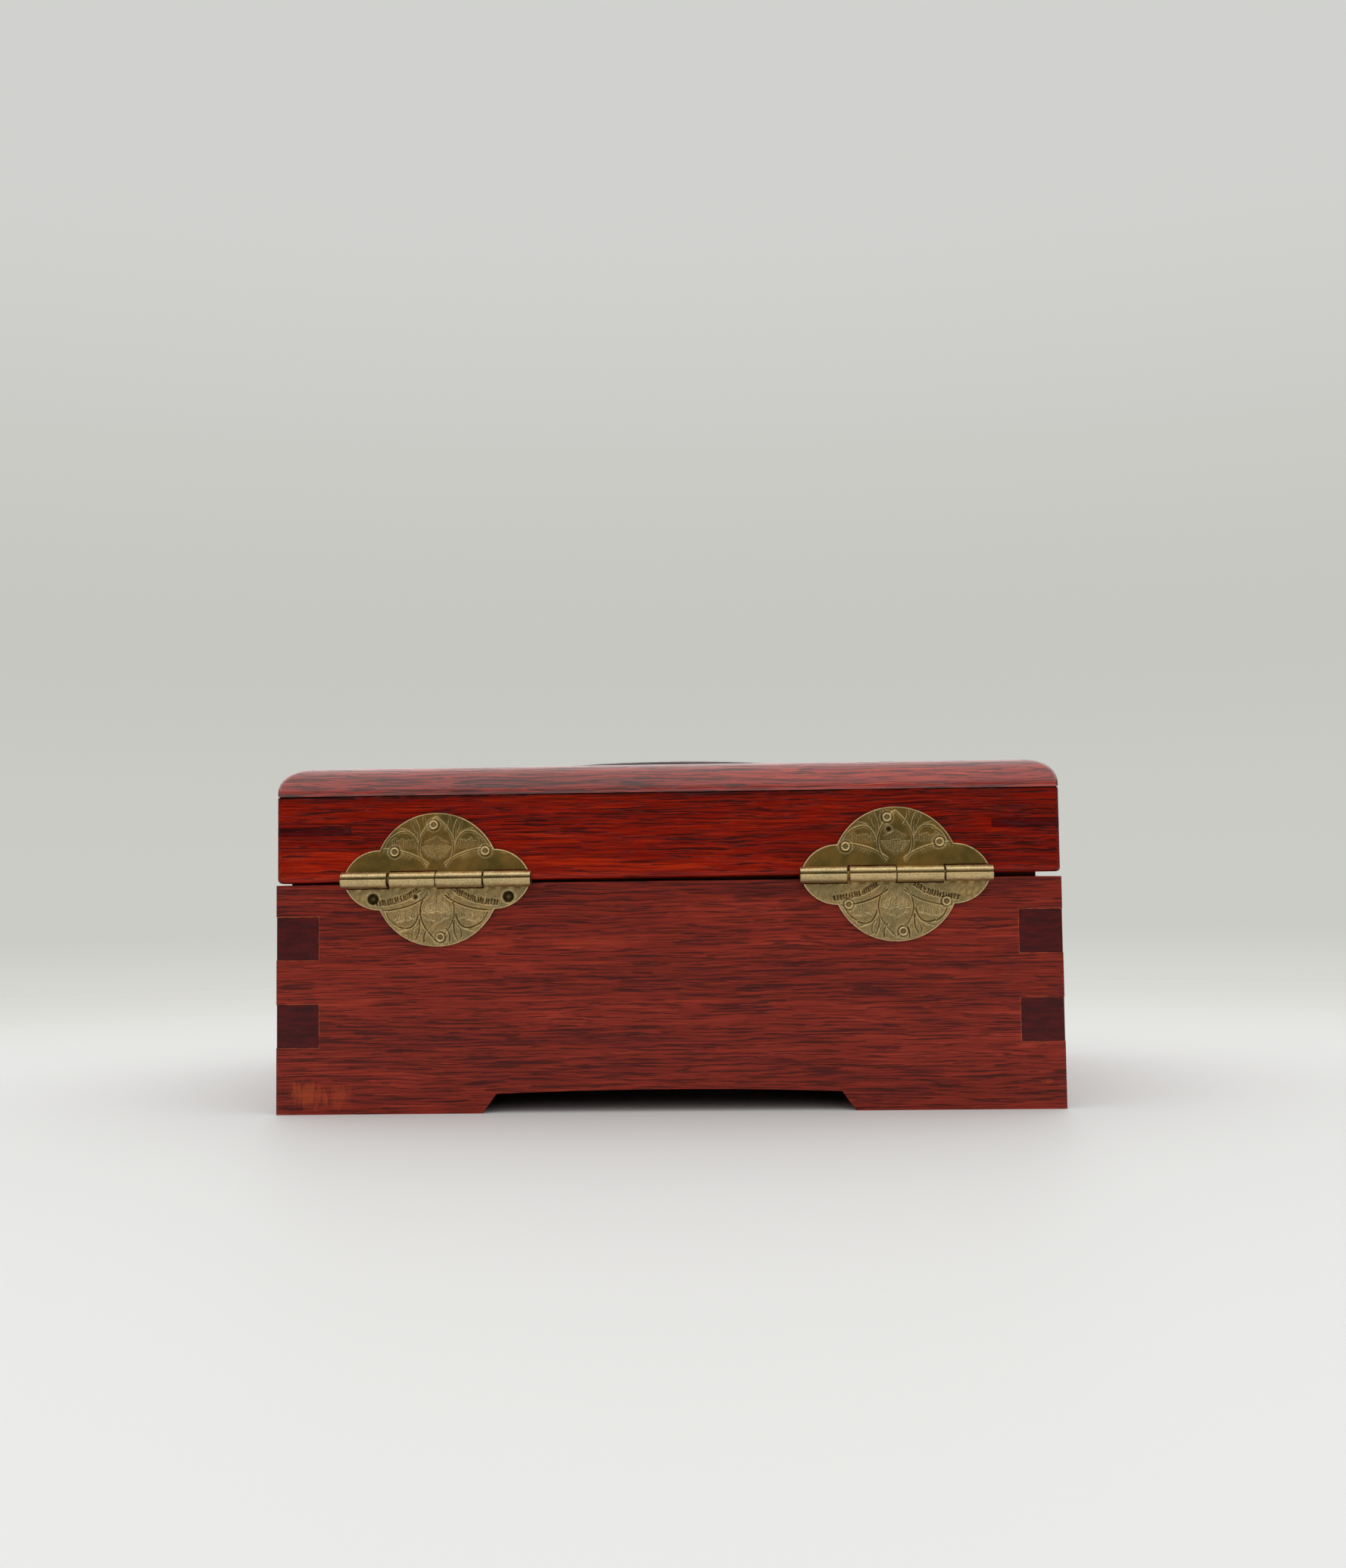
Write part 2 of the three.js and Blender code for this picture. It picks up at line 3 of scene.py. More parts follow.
import bpy
import numpy as np
from mathutils import Matrix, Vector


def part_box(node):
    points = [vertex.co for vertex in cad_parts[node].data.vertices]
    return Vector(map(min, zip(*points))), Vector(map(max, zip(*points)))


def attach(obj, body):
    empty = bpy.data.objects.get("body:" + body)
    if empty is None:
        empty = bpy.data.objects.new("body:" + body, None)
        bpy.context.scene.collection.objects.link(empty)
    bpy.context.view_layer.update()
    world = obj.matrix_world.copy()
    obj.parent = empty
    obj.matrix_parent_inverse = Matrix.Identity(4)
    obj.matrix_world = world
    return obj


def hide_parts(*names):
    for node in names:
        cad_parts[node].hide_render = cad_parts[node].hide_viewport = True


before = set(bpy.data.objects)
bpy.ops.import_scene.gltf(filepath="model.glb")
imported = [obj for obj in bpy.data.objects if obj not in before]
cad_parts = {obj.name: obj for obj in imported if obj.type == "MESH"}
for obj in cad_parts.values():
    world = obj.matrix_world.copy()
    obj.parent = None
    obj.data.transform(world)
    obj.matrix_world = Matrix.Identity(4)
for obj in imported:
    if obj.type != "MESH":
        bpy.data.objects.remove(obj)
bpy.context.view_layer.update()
mm = 0.001


def nodeBox(node):
    # lowest and highest corner of a frame node, in millimetres
    low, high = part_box(node)
    return np.array(low) / mm, np.array(high) / mm


# the places that everything is worked out from, in millimetres
backLow, backHigh = nodeBox("case_back_panel")
boardLow, boardHigh = nodeBox("lid_top_board")
halfLength = backHigh[0]
backFace, frontFace = backHigh[1], nodeBox("case_front_panel")[0][1]
centreY = (backFace + frontFace) / 2
halfDepth = (backFace - frontFace) / 2
wall = backHigh[1] - backLow[1]
caseTop = nodeBox("lock_plate_lower")[1][2]
rimTop = backHigh[2]
lidBottom = nodeBox("lid_back_rail")[0][2]
lidTop = boardHigh[2]
seamZ = boardLow[2] - 0.15


def makeObject(name, verts, faces, smooth=True):
    # verts is an array of points in millimetres, faces a list of index tuples
    mesh = bpy.data.meshes.new(name)
    mesh.from_pydata((np.asarray(verts, float) * mm).tolist(), [], faces)
    mesh.update()
    mesh.polygons.foreach_set("use_smooth", np.full(len(mesh.polygons), smooth))
    piece = bpy.data.objects.new(name, mesh)
    bpy.context.scene.collection.objects.link(piece)
    return piece


def gridFaces(rows, columns, closed=False, start=0):
    # the quads of a grid of points stored row by row; closed joins the last column to the first
    i, j = np.meshgrid(np.arange(rows - 1), np.arange(columns if closed else columns - 1), indexing="ij")
    a = i * columns + j
    b = i * columns + (j + 1) % columns
    quads = np.stack([a, b, b + columns, a + columns], -1).reshape(-1, 4) + start
    return quads.tolist()


def loftMesh(rings, start=0, capLow=True, capHigh=True):
    # rings (k, n, 3) are joined by quads, and the first and last are closed with one face each
    k, n, _ = rings.shape
    faces = gridFaces(k, n, closed=True, start=start)
    if capLow:
        faces.append(list(range(start + n - 1, start - 1, -1)))
    if capHigh:
        faces.append(list(range(start + (k - 1) * n, start + k * n)))
    return rings.reshape(-1, 3), faces


def closedLoop(rings):
    # rings (k, n, 3) joined by quads, the last one to the first
    k, n, _ = rings.shape
    last, first = (k - 1) * n + np.arange(n), np.arange(n)
    closing = np.stack([last, np.roll(last, -1), np.roll(first, -1), first], -1)
    return rings.reshape(-1, 3), gridFaces(k, n, closed=True) + closing.tolist()


def atHeight(ring, z):
    # a ring of (x, y) points lifted to one height
    return np.concatenate([ring, np.full((len(ring), 1), z)], -1)


def bell(x, middle, width):
    # 1 at the middle, a third at one width from it, and soon nothing
    return np.exp(-((x - middle) / width) ** 2)


def loft(name, rings):
    return makeObject(name, *loftMesh(np.asarray(rings, float)))


def joined(name, parts):
    # several closed shells in one object; each part is (verts, faces) with its own numbering
    verts, faces, count = [], [], 0
    for points, quads in parts:
        verts.append(points)
        faces += [[i + count for i in quad] for quad in quads]
        count += len(points)
    return makeObject(name, np.concatenate(verts), faces)


def turn(profile, sides, centre, outward="z"):
    # a profile of (radius, height) carried round an axis through centre; the height runs along outward
    angle = np.linspace(0, 2 * np.pi, sides, endpoint=False)
    r, h = np.asarray(profile, float).T
    x = r[:, None] * np.cos(angle)
    y = r[:, None] * np.sin(angle)
    z = np.broadcast_to(h[:, None], x.shape)
    points = {"z": (x, y, z), "back": (-x, z, y), "front": (x, -z, y), "x": (z, x, y)}[outward]
    return np.stack(points, -1) + np.asarray(centre, float)


def easeEdges(piece, width, weights, segments=3):
    # rounds the edges by weight; weights is a function of the edges' middles and directions
    mesh = piece.data
    co = np.empty(len(mesh.vertices) * 3)
    mesh.vertices.foreach_get("co", co)
    co = co.reshape(-1, 3) / mm
    ends = np.empty(len(mesh.edges) * 2, int)
    mesh.edges.foreach_get("vertices", ends)
    a, b = co[ends.reshape(-1, 2)].transpose(1, 0, 2)
    layer = mesh.attributes.new("bevel_weight_edge", "FLOAT", "EDGE")
    layer.data.foreach_set("value", weights((a + b) / 2, b - a).astype(np.float32))
    bevel = piece.modifiers.new("eased edges", "BEVEL")
    bevel.width = width * mm
    bevel.segments = segments
    bevel.limit_method = "WEIGHT"
    bevel.harden_normals = True
    return piece


def smoothByAngle(piece, degrees=35):
    piece.data.set_sharp_from_angle(angle=math.radians(degrees))
    return piece


def hexColour(code):
    # an sRGB hex value as linear light, for a colour socket
    channels = np.array([int(code[i:i + 2], 16) for i in (0, 2, 4)]) / 255
    linear = np.where(channels <= 0.04045, channels / 12.92, ((channels + 0.055) / 1.055) ** 2.4)
    return (*linear.tolist(), 1.0)


shared = {"MapRange": {"interpolation_type": "SMOOTHSTEP"}, "TexNoise": {"noise_dimensions": "4D"}}


def addNode(tree, kind, *inputs, output=0, **settings):
    # inputs fill the sockets in order, None leaving one as it is; settings are sockets by their
    # capitalised names or the node's own properties, on top of those its kind shares; gives the
    # numbered or named output, or the node itself when that is None
    node = tree.nodes.new("ShaderNode" + kind)
    sockets = list(zip(node.inputs, inputs))
    for name, value in {**shared.get(kind, {}), **settings}.items():
        if name[0].isupper():
            sockets.append((node.inputs[name], value))
        else:
            setattr(node, name, value)
    for socket, value in sockets:
        if isinstance(value, bpy.types.NodeSocket):
            tree.links.new(value, socket)
        elif value is not None:
            socket.default_value = value
    return node if output is None else node.outputs[output]


def perSize(sizes):
    # the mapping scale that gives a pattern these real sizes in millimetres
    return [1 / (size * mm) for size in sizes]


def tinted(tree, values, ground, *layers):
    # the ground colour with each (mask, colour name) laid over it in turn
    colour = hexColour(values[ground])
    for mask, name in layers:
        colour = addNode(tree, "MixRGB", mask, colour, hexColour(values[name]))
    return colour


def newMaterial(name):
    material = bpy.data.materials.new(name)
    material.use_nodes = True
    tree = material.node_tree
    tree.nodes.clear()
    return material, tree, addNode(tree, "TexCoord", output="Object")


def surface(tree, sockets):
    # ends a material: the shader fed through these named sockets, and the output behind it
    addNode(tree, "OutputMaterial", addNode(tree, "BsdfPrincipled", **sockets), output=None)


camera = {"place": (-14.81, centreY + 475.0, 60.53), "yaw": 1.764, "pitch": 3.296, "roll": -0.728,
          "lens": 36.49}
stage = {"radius": 800, "pale": 420, "centre": 350, "colour": "E2E3E3", "edge": "CDCEC8"}
# dome and below are (low, high, value at low, value at high) over the height of the view direction;
# backdrop is one tone, then further tones that each take over between two heights
light = {"dome": (0.13, 0.27, 0.03, 1.14), "below": (-0.35, -0.12, 0.45, 0.0), "colour": (1, 0.995, 0.975, 1),
         "backdrop": ("D6D7D1", ("CBCCC6", -0.066, -0.030), ("C7C7C1", 0.0, 0.14), ("D1D2CF", 0.14, 0.42))}


def makeCamera():
    data = bpy.data.cameras.new("camera")
    data.lens = camera["lens"]
    data.sensor_width = 36
    data.clip_start, data.clip_end = 0.01, 20
    view = bpy.data.objects.new("camera", data)
    bpy.context.scene.collection.objects.link(view)
    yaw, pitch, roll = (math.radians(camera[k]) for k in ("yaw", "pitch", "roll"))
    turned = Matrix.Rotation(math.pi + yaw, 4, "Z") @ Matrix.Rotation(math.pi / 2 + pitch, 4, "X")
    placed = Matrix.Translation([v * mm for v in camera["place"]])
    view.matrix_world = placed @ turned @ Matrix.Rotation(roll, 4, "Z")
    bpy.context.scene.camera = view


def makeFloor():
    # a round pale floor that fades to the backdrop's tone at its rim
    rings = np.linspace(1, 0, 24)[:-1, None] * stage["radius"]
    angle = np.linspace(0, 2 * np.pi, 96, endpoint=False)
    x, y = rings * np.cos(angle), stage["centre"] + rings * np.sin(angle)
    points = np.stack([x, y, np.zeros_like(x)], -1)
    floor = makeObject("floor", *loftMesh(points, capLow=False))
    material, tree, where = newMaterial("matt white board")
    away = addNode(tree, "VectorMath", where, (0, stage["centre"] * mm, 0), output="Value",
        operation="DISTANCE")
    rim = addNode(tree, "MapRange", away, stage["pale"] * mm, stage["radius"] * mm)
    colour = addNode(tree, "MixRGB", rim, hexColour(stage["colour"]), hexColour(stage["edge"]))
    surface(tree, {"Base Color": colour, "Roughness": 0.55, "Specular IOR Level": 0.3})
    floor.data.materials.append(material)


def makeLight():
    # a soft dome: bright overhead, dim near the horizon, and one even tone where the camera sees it
    world = bpy.data.worlds.new("studio")
    bpy.context.scene.world = world
    world.use_nodes = True
    tree = world.node_tree
    tree.nodes.clear()
    up = addNode(tree, "TexCoord", output="Generated")
    height = addNode(tree, "SeparateXYZ", up, output="Z")
    strength = addNode(tree, "Math", addNode(tree, "MapRange", height, *light["dome"]),
        addNode(tree, "MapRange", height, *light["below"]), operation="ADD")
    lit = addNode(tree, "Background", light["colour"], strength)
    ground, *bands = light["backdrop"]
    tone = hexColour(ground)
    for code, low, high in bands:
        tone = addNode(tree, "MixRGB", addNode(tree, "MapRange", height, low, high), tone, hexColour(code))
    seen = addNode(tree, "Background", tone, 1.0)
    direct = addNode(tree, "LightPath", output="Is Camera Ray")
    addNode(tree, "OutputWorld", addNode(tree, "MixShader", direct, lit, seen), output=None)
    bpy.context.scene.view_settings.view_transform = "Standard"


makeCamera()
makeFloor()
makeLight()
print("camera, floor and light ready")

# Oiled and lacquered rosewood: red-brown with darker wavy figure and long open pores along the
# grain, near-black speckled end grain. Sizes in millimetres.
rosewood = {
    "lid": {"pale": "B02A06", "mid": "861402", "dark": "560B03", "pore": "200301", "poreTone": 0.72,
            "end": "4A1010", "endDark": "300A0C", "speck": "160808", "seed": 3.0,
            "roughness": 0.34, "specular": 0.06, "coat": 0.22, "coatRoughness": 0.10},
    "case": {"pale": "A03522", "mid": "822516", "dark": "5E1810", "pore": "2A0A08", "poreTone": 0.68,
             "end": "54100F", "endDark": "3C0C0E", "speck": "160808", "seed": 11.0,
             "roughness": 0.40, "specular": 0.12, "coat": 0.16, "coatRoughness": 0.14},
}
rosewood["board"] = {**rosewood["lid"], "pale": "C23C1E", "mid": "9C2411", "dark": "5C120C",
                     "end": "641A14", "endDark": "46100E", "seed": 5.0, "specular": 0.5,
                     "coat": 1.0, "coatRoughness": 0.13}
rosewood["side"] = {**rosewood["case"], "seed": 17.0}
grain = {"wander": 1.0, "wanderLength": (24, 7), "figure": (110, 7.0), "streak": (20, 0.45),
         "pore": (15, 0.42), "poreDepth": 0.07, "endPore": 0.35}


def makeRosewood(name, along, values, extras=None):
    # along is the axis the grain runs on; extras(tree, where, colour) may add marks
    material, tree, where = newMaterial(name)
    parts = addNode(tree, "SeparateXYZ", where, output=None).outputs
    order = {"X": ("X", "Y", "Z"), "Y": ("Y", "X", "Z")}[along]
    run = addNode(tree, "CombineXYZ", X=parts[order[0]], Y=parts[order[1]], Z=parts[order[2]])
    wanderSize = (*grain["wanderLength"], grain["wanderLength"][1])
    wander = addNode(tree, "TexNoise", output="Color", W=values["seed"], Scale=1.0, Detail=3.0,
        Vector=addNode(tree, "Mapping", run, None, None, perSize(wanderSize)))
    centred = addNode(tree, "VectorMath", wander, (0.5, 0.5, 0.5), operation="SUBTRACT")
    shift = addNode(tree, "VectorMath", centred, (0, grain["wander"] * 2 * mm, grain["wander"] * 2 * mm),
        operation="MULTIPLY")
    grained = addNode(tree, "VectorMath", run, shift, operation="ADD")
    field = {}
    for number, (kind, detail) in enumerate((("figure", 3.0), ("streak", 3.0), ("pore", 2.0))):
        size = (*grain[kind], grain[kind][1])
        field[kind] = addNode(tree, "TexNoise",
            addNode(tree, "Mapping", grained, None, None, perSize(size)), values["seed"] + number, 1.0,
            detail, 0.55)
    tone = addNode(tree, "Math", field["streak"], 0.65,
        addNode(tree, "Math", field["figure"], 0.35, operation="MULTIPLY"), operation="MULTIPLY_ADD")
    # pores are short thin dark lines, closer together in the dark bands
    pores = addNode(tree, "MapRange",
        addNode(tree, "Math", field["figure"], -0.20, field["pore"], operation="MULTIPLY_ADD"), 0.435, 0.48)
    marks = addNode(tree, "Math", pores, values["poreTone"], operation="MULTIPLY")
    long = tinted(tree, values, "dark", (addNode(tree, "MapRange", tone, 0.36, 0.52), "mid"),
        (addNode(tree, "MapRange", tone, 0.50, 0.66), "pale"), (marks, "pore"))
    if extras:
        long = extras(tree, where, long)
    # end grain shows on the faces that the grain runs out of
    facing = addNode(tree, "NewGeometry", output="Normal")
    outOf = addNode(tree, "SeparateXYZ", facing, output=along)
    endFace = addNode(tree, "MapRange", addNode(tree, "Math", outOf, operation="ABSOLUTE"), 0.55, 0.80)
    speckle = addNode(tree, "TexNoise",
        addNode(tree, "Mapping", run, None, None, perSize((3, grain["endPore"], grain["endPore"]))),
        values["seed"] + 5, 1.0, 2.0, 0.6)
    rays = addNode(tree, "TexNoise", addNode(tree, "Mapping", run, None, None, perSize((8, 6, 1.1))),
        values["seed"] + 6, 1.0, 3.0, 0.6)
    ends = tinted(tree, values, "endDark", (addNode(tree, "MapRange", rays, 0.35, 0.65), "end"),
        (addNode(tree, "MapRange", speckle, 0.55, 0.72, 0.0, 0.5), "speck"))
    relief = addNode(tree, "Math", field["streak"], 0.6,
        addNode(tree, "Math", pores, -1.0, operation="MULTIPLY"), operation="MULTIPLY_ADD")
    bump = addNode(tree, "Bump", Height=relief, Distance=grain["poreDepth"] * mm, Strength=0.8)
    surface(tree, {"Base Color": addNode(tree, "MixRGB", endFace, long, ends),
                   "Roughness": addNode(tree, "Math", pores, 0.2, values["roughness"],
                                        operation="MULTIPLY_ADD"),
                   "Specular IOR Level": values["specular"], "Coat Weight": values["coat"],
                   "Coat Roughness": values["coatRoughness"], "Normal": bump, "Coat Normal": bump})
    return material


def darkerTowardsJoint(tree, where, colour):
    # the wood darkens towards the joint under the board: darkest in the joint itself, fading over three
    # millimetres below it
    height = addNode(tree, "SeparateXYZ", where, output="Z")
    broken = addNode(tree, "TexNoise", addNode(tree, "Mapping", where, None, None, perSize((7, 7, 2))),
        12.0, 1.0, 3.0, 0.6)
    jointFade = addNode(tree, "Math", addNode(tree, "MapRange", height, (seamZ - 3.2) * mm, seamZ * mm),
        addNode(tree, "MapRange", broken, 0.3, 0.7, 0.25, 0.6), operation="MULTIPLY")
    line = addNode(tree, "Math", addNode(tree, "MapRange", height, (seamZ - 0.5) * mm, (seamZ - 0.2) * mm),
        addNode(tree, "MapRange", broken, 0.35, 0.5), operation="MULTIPLY")
    return addNode(tree, "MixRGB", addNode(tree, "Math", jointFade, line, operation="MAXIMUM"), colour,
        hexColour("1E0402"))


lidLong = makeRosewood("oiled rosewood lid, grain across", "X", rosewood["lid"], darkerTowardsJoint)
lidShort = makeRosewood("oiled rosewood lid, grain front to back", "Y", rosewood["lid"])
caseLong = makeRosewood("oiled rosewood case, grain across", "X", rosewood["case"])
caseShort = makeRosewood("oiled rosewood case, grain front to back", "Y", rosewood["side"])
boardLong = makeRosewood("lacquered rosewood board", "X", rosewood["board"])


def finish(piece, material, slot, body, *nodes):
    piece.data.materials.append(material)
    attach(piece, body)
    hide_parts(*nodes)
    return piece


# rubbed places are (x, z, half width, half height, strength)
panel = {"fingers": ((17.2, 28.2), (39.8, 50.8)), "ragged": 0.10, "raggedStep": 0.8,
         "arch": {"low": 5.0, "rise": 0.8, "slant": 3.6, "long": 48.0, "short": 29.5}, "eased": 0.8,
         "tongueIn": 5.5, "tongueInRight": 2.6,
         "rubbed": ((93.5, 5.2, 5.0, 3.2, 0.62), (85.0, 4.8, 2.8, 3.0, 0.40), (-96.5, 7.0, 1.6, 0.5, 0.35))}
rng = np.random.default_rng(7)


def archHalf(half):
    # right half of the foot arch, from its middle down to the floor: a shallow bow, then the slanted end
    arch = panel["arch"]
    top = half - arch["slant"]
    x = np.linspace(0, top, 13)
    z = arch["low"] + arch["rise"] * (1 - (x / top) ** 2)
    return np.concatenate([np.stack([x, z], -1), [[half, 0.0]]])


def raggedLine(a, b, away):
    # a sawn edge from a to b that wanders away from the joint by a random part of a tenth of a millimetre
    steps = max(2, int(np.hypot(*(np.subtract(b, a))) / panel["raggedStep"]))
    t = np.linspace(0, 1, steps + 1)[:, None]
    line = np.array(a) * (1 - t) + np.array(b) * t
    return line + np.outer(rng.random(steps + 1) * panel["ragged"], away)


def longPanelOutline():
    # seen from the side it faces: arch, feet and two notches at each end for the side panels' fingers
    def rightSide():
        line = [archHalf(panel["arch"]["long"]), [[halfLength, 0.0]]]
        for low, high in panel["fingers"]:
            line.append(raggedLine((halfLength, low), (halfLength - wall, low), (0, -1)))
            line.append(raggedLine((halfLength - wall, low), (halfLength - wall, high), (-1, 0))[1:-1])
            line.append(raggedLine((halfLength - wall, high), (halfLength, high), (0, 1)))
        line.append([[halfLength, caseTop]])
        return np.concatenate(line)
    right, left = rightSide(), rightSide()
    left[:, 0] *= -1
    return np.concatenate([right, left[:0:-1]])


def sidePanelOutline():
    # as along Y and Z: the body between the long panels with two fingers at each end
    inner = halfDepth - wall
    half = [archHalf(panel["arch"]["short"]), [[inner, 0.0]]]
    for low, high in panel["fingers"]:
        half.append([[inner, low], [halfDepth, low], [halfDepth, high], [inner, high]])
    half.append([[inner, caseTop]])
    right = np.concatenate(half)
    left = right * [-1, 1]
    return np.concatenate([right, left[:0:-1]])


def slab(outline, low, high, axis):
    # the outline stands at low and at high along an axis, with walls between
    at = {"Y": lambda p, d: np.stack([p[:, 0], np.full(len(p), d), p[:, 1]], -1),
          "X": lambda p, d: np.stack([np.full(len(p), d), p[:, 0] + centreY, p[:, 1]], -1)}[axis]
    rings = np.stack([at(outline, low), at(outline, high)])
    if axis == "Y":
        rings = rings[::-1]
    return loftMesh(rings)


def panelWeights(axis):
    # outer corners and the rim are eased fully, the arch less, the joints hardly
    def weights(middle, run):
        across = middle[:, 0] if axis == "Y" else middle[:, 1] - centreY
        full = halfLength if axis == "Y" else halfDepth
        outward = np.abs(middle[:, 1] - centreY) if axis == "Y" else np.abs(middle[:, 0])
        outside = outward > (halfDepth if axis == "Y" else halfLength) - 0.5
        through = np.abs(run[:, 1 if axis == "Y" else 0]) > 1
        rim = np.abs(middle[:, 2] - caseTop) < 0.01
        foot = middle[:, 2] < 0.5
        archEdge = (middle[:, 2] < 6.5) & ~foot
        corner = np.abs(across) > full - 0.5
        value = np.where(outside, 0.12, 0.05)
        value = np.where(outside & (rim | foot), 0.95, value)
        value = np.where(rim & ~outside, 0.4, value)
        value = np.where(outside & archEdge, 0.45, value)
        value = np.where(outside & corner & ~through, 0.6, value)
        value = np.where(through, 0.04, value)
        value = np.where(through & corner & foot, 0.5, value)
        return np.where(middle[:, 2] > caseTop + 0.1, 0.0, value)
    return weights


def jointHighlightsAndRubs(tree, where, colour):
    # a thin paler line round each finger end, a painted highlight where its eased edge would catch the
    # light, and the rubbed places; a point's distance past a finger end is the larger of its distances past
    # the end's sides
    parts = addNode(tree, "SeparateXYZ", where, output=None).outputs
    across = addNode(tree, "Math", parts["X"], operation="ABSOLUTE")
    line = None
    for low, high in panel["fingers"]:
        past = []
        for value, middle, half in ((across, halfLength - wall / 2, wall / 2),
                                    (parts["Z"], (low + high) / 2, (high - low) / 2)):
            away = addNode(tree, "Math", value, middle * mm, operation="SUBTRACT")
            away = addNode(tree, "Math", away, operation="ABSOLUTE")
            past.append(addNode(tree, "Math", away, half * mm, operation="SUBTRACT"))
        edge = addNode(tree, "MapRange", addNode(tree, "Math", *past, operation="MAXIMUM"), 0.45 * mm,
            0.05 * mm)
        line = edge if line is None else addNode(tree, "Math", line, edge, operation="MAXIMUM")
    broken = addNode(tree, "TexNoise",
        addNode(tree, "Mapping", where, None, None, perSize((2.5, 2.5, 2.5))), 4.0, 1.0, 2.0, 0.6)
    line = addNode(tree, "Math", line, addNode(tree, "MapRange", broken, 0.35, 0.6, 0.15, 0.85),
        operation="MULTIPLY")
    # painted highlight: the pale line round the finger ends
    colour = addNode(tree, "MixRGB", line, colour, hexColour("A04A2C"))
    # where the case stood and was gripped the finish has gone orange, inside ragged ellipses
    scuff = addNode(tree, "TexNoise", addNode(tree, "Mapping", where, None, None, perSize((0.9, 5, 5))),
        9.0, 1.0, 3.0, 0.65)
    for x, z, wide, tall, strength in panel["rubbed"]:
        dx, dz = (addNode(tree, "Math",
            addNode(tree, "Math", parts[axis], middle * mm, operation="SUBTRACT"), reach * mm,
            operation="DIVIDE") for axis, middle, reach in (("X", x, wide), ("Z", z, tall)))
        away = addNode(tree, "Math", dz, dz, addNode(tree, "Math", dx, dx, operation="MULTIPLY"),
            operation="MULTIPLY_ADD")
        away = addNode(tree, "Math", addNode(tree, "Math", scuff, 0.5, operation="SUBTRACT"), -2.6,
            addNode(tree, "Math", away, operation="SQRT"), operation="MULTIPLY_ADD")
        rubbed = addNode(tree, "Math", addNode(tree, "MapRange", away, 1.35, 0.25), strength,
            operation="MULTIPLY")
        colour = addNode(tree, "MixRGB", rubbed, colour, hexColour("B0481F"))
    return colour


caseBack = makeRosewood("oiled rosewood back, glued joints", "X", rosewood["case"], jointHighlightsAndRubs)


def tongue(x0, x1, y0, y1):
    # the low bar on the rim, with its top edges rounded by half a millimetre
    soft = 0.5
    levels = [(caseTop - 0.05, 0), (rimTop - soft, 0)]
    for a in np.linspace(0, np.pi / 2, 5)[1:]:
        levels.append((rimTop - soft * (1 - math.sin(a)), soft * (1 - math.cos(a))))
    rings = []
    for z, e in levels:
        rings.append([(x0 + e, y0 + e, z), (x1 - e, y0 + e, z), (x1 - e, y1 - e, z), (x0 + e, y1 - e, z)])
    return loftMesh(np.array(rings))


def makeCasePanels():
    for name, low, high, material in (("front", frontFace, frontFace + wall, caseLong),
                                      ("back", backFace - wall, backFace, caseBack)):
        bar = (low + panel["tongueIn"], high) if name == "front" else (low, high - panel["tongueIn"])
        bar = tongue(-halfLength + panel["tongueIn"], halfLength - panel["tongueInRight"], *bar)
        piece = smoothByAngle(joined(f"{name}Panel", [slab(longPanelOutline(), low, high, "Y"), bar]))
        easeEdges(piece, panel["eased"], panelWeights("Y"))
        finish(piece, material, "case_wood", "case", f"case_{name}_panel")
    for name, side in (("left", -1), ("right", 1)):
        low, high = sorted((side * halfLength, side * (halfLength - wall)))
        bar = (low, high - panel["tongueInRight"]) if side > 0 else (low + panel["tongueIn"], high)
        reach = halfDepth - wall - 0.05
        bar = tongue(*bar, centreY - reach, centreY + reach)
        piece = smoothByAngle(joined(f"{name}Panel", [slab(sidePanelOutline(), low, high, "X"), bar]))
        easeEdges(piece, panel["eased"], panelWeights("X"))
        finish(piece, caseShort, "end_grain_wood", "case", f"case_{name}_panel")
    print("case panels ready")


makeCasePanels()

# the last four are slow changes along x, as (start or middle, width, size)
lid = {"roundover": 6.5, "corner": 1.6, "easedRail": 0.9, "keyLow": 71.9, "keyHigh": 74.3,
       "keyLeg": {1: 19.6, -1: 17.5}, "cornerArc": 7, "clear": 0.3,
       "sink": (5, 65, 0.52), "cornerSink": (98, 4, 0.3), "gape": (90, 6, 0.30), "crack": (72.5, 1.6, 0.16)}


def roundedRectangle(halfX, halfY, radius, z, steps=8):
    # four quarter circles joined by straight sides, counter-clockwise from the +X side's lower corner
    angle = np.linspace(0, np.pi / 2, steps)
    rings = []
    for k, (sx, sy) in enumerate(((1, -1), (1, 1), (-1, 1), (-1, -1))):
        turnBy = angle + (k - 1) * np.pi / 2
        centre = np.array([sx * (halfX - radius), centreY + sy * (halfY - radius)])
        rings.append(centre + radius * np.stack([np.cos(turnBy), np.sin(turnBy)], -1))
    return atHeight(np.concatenate(rings), z)


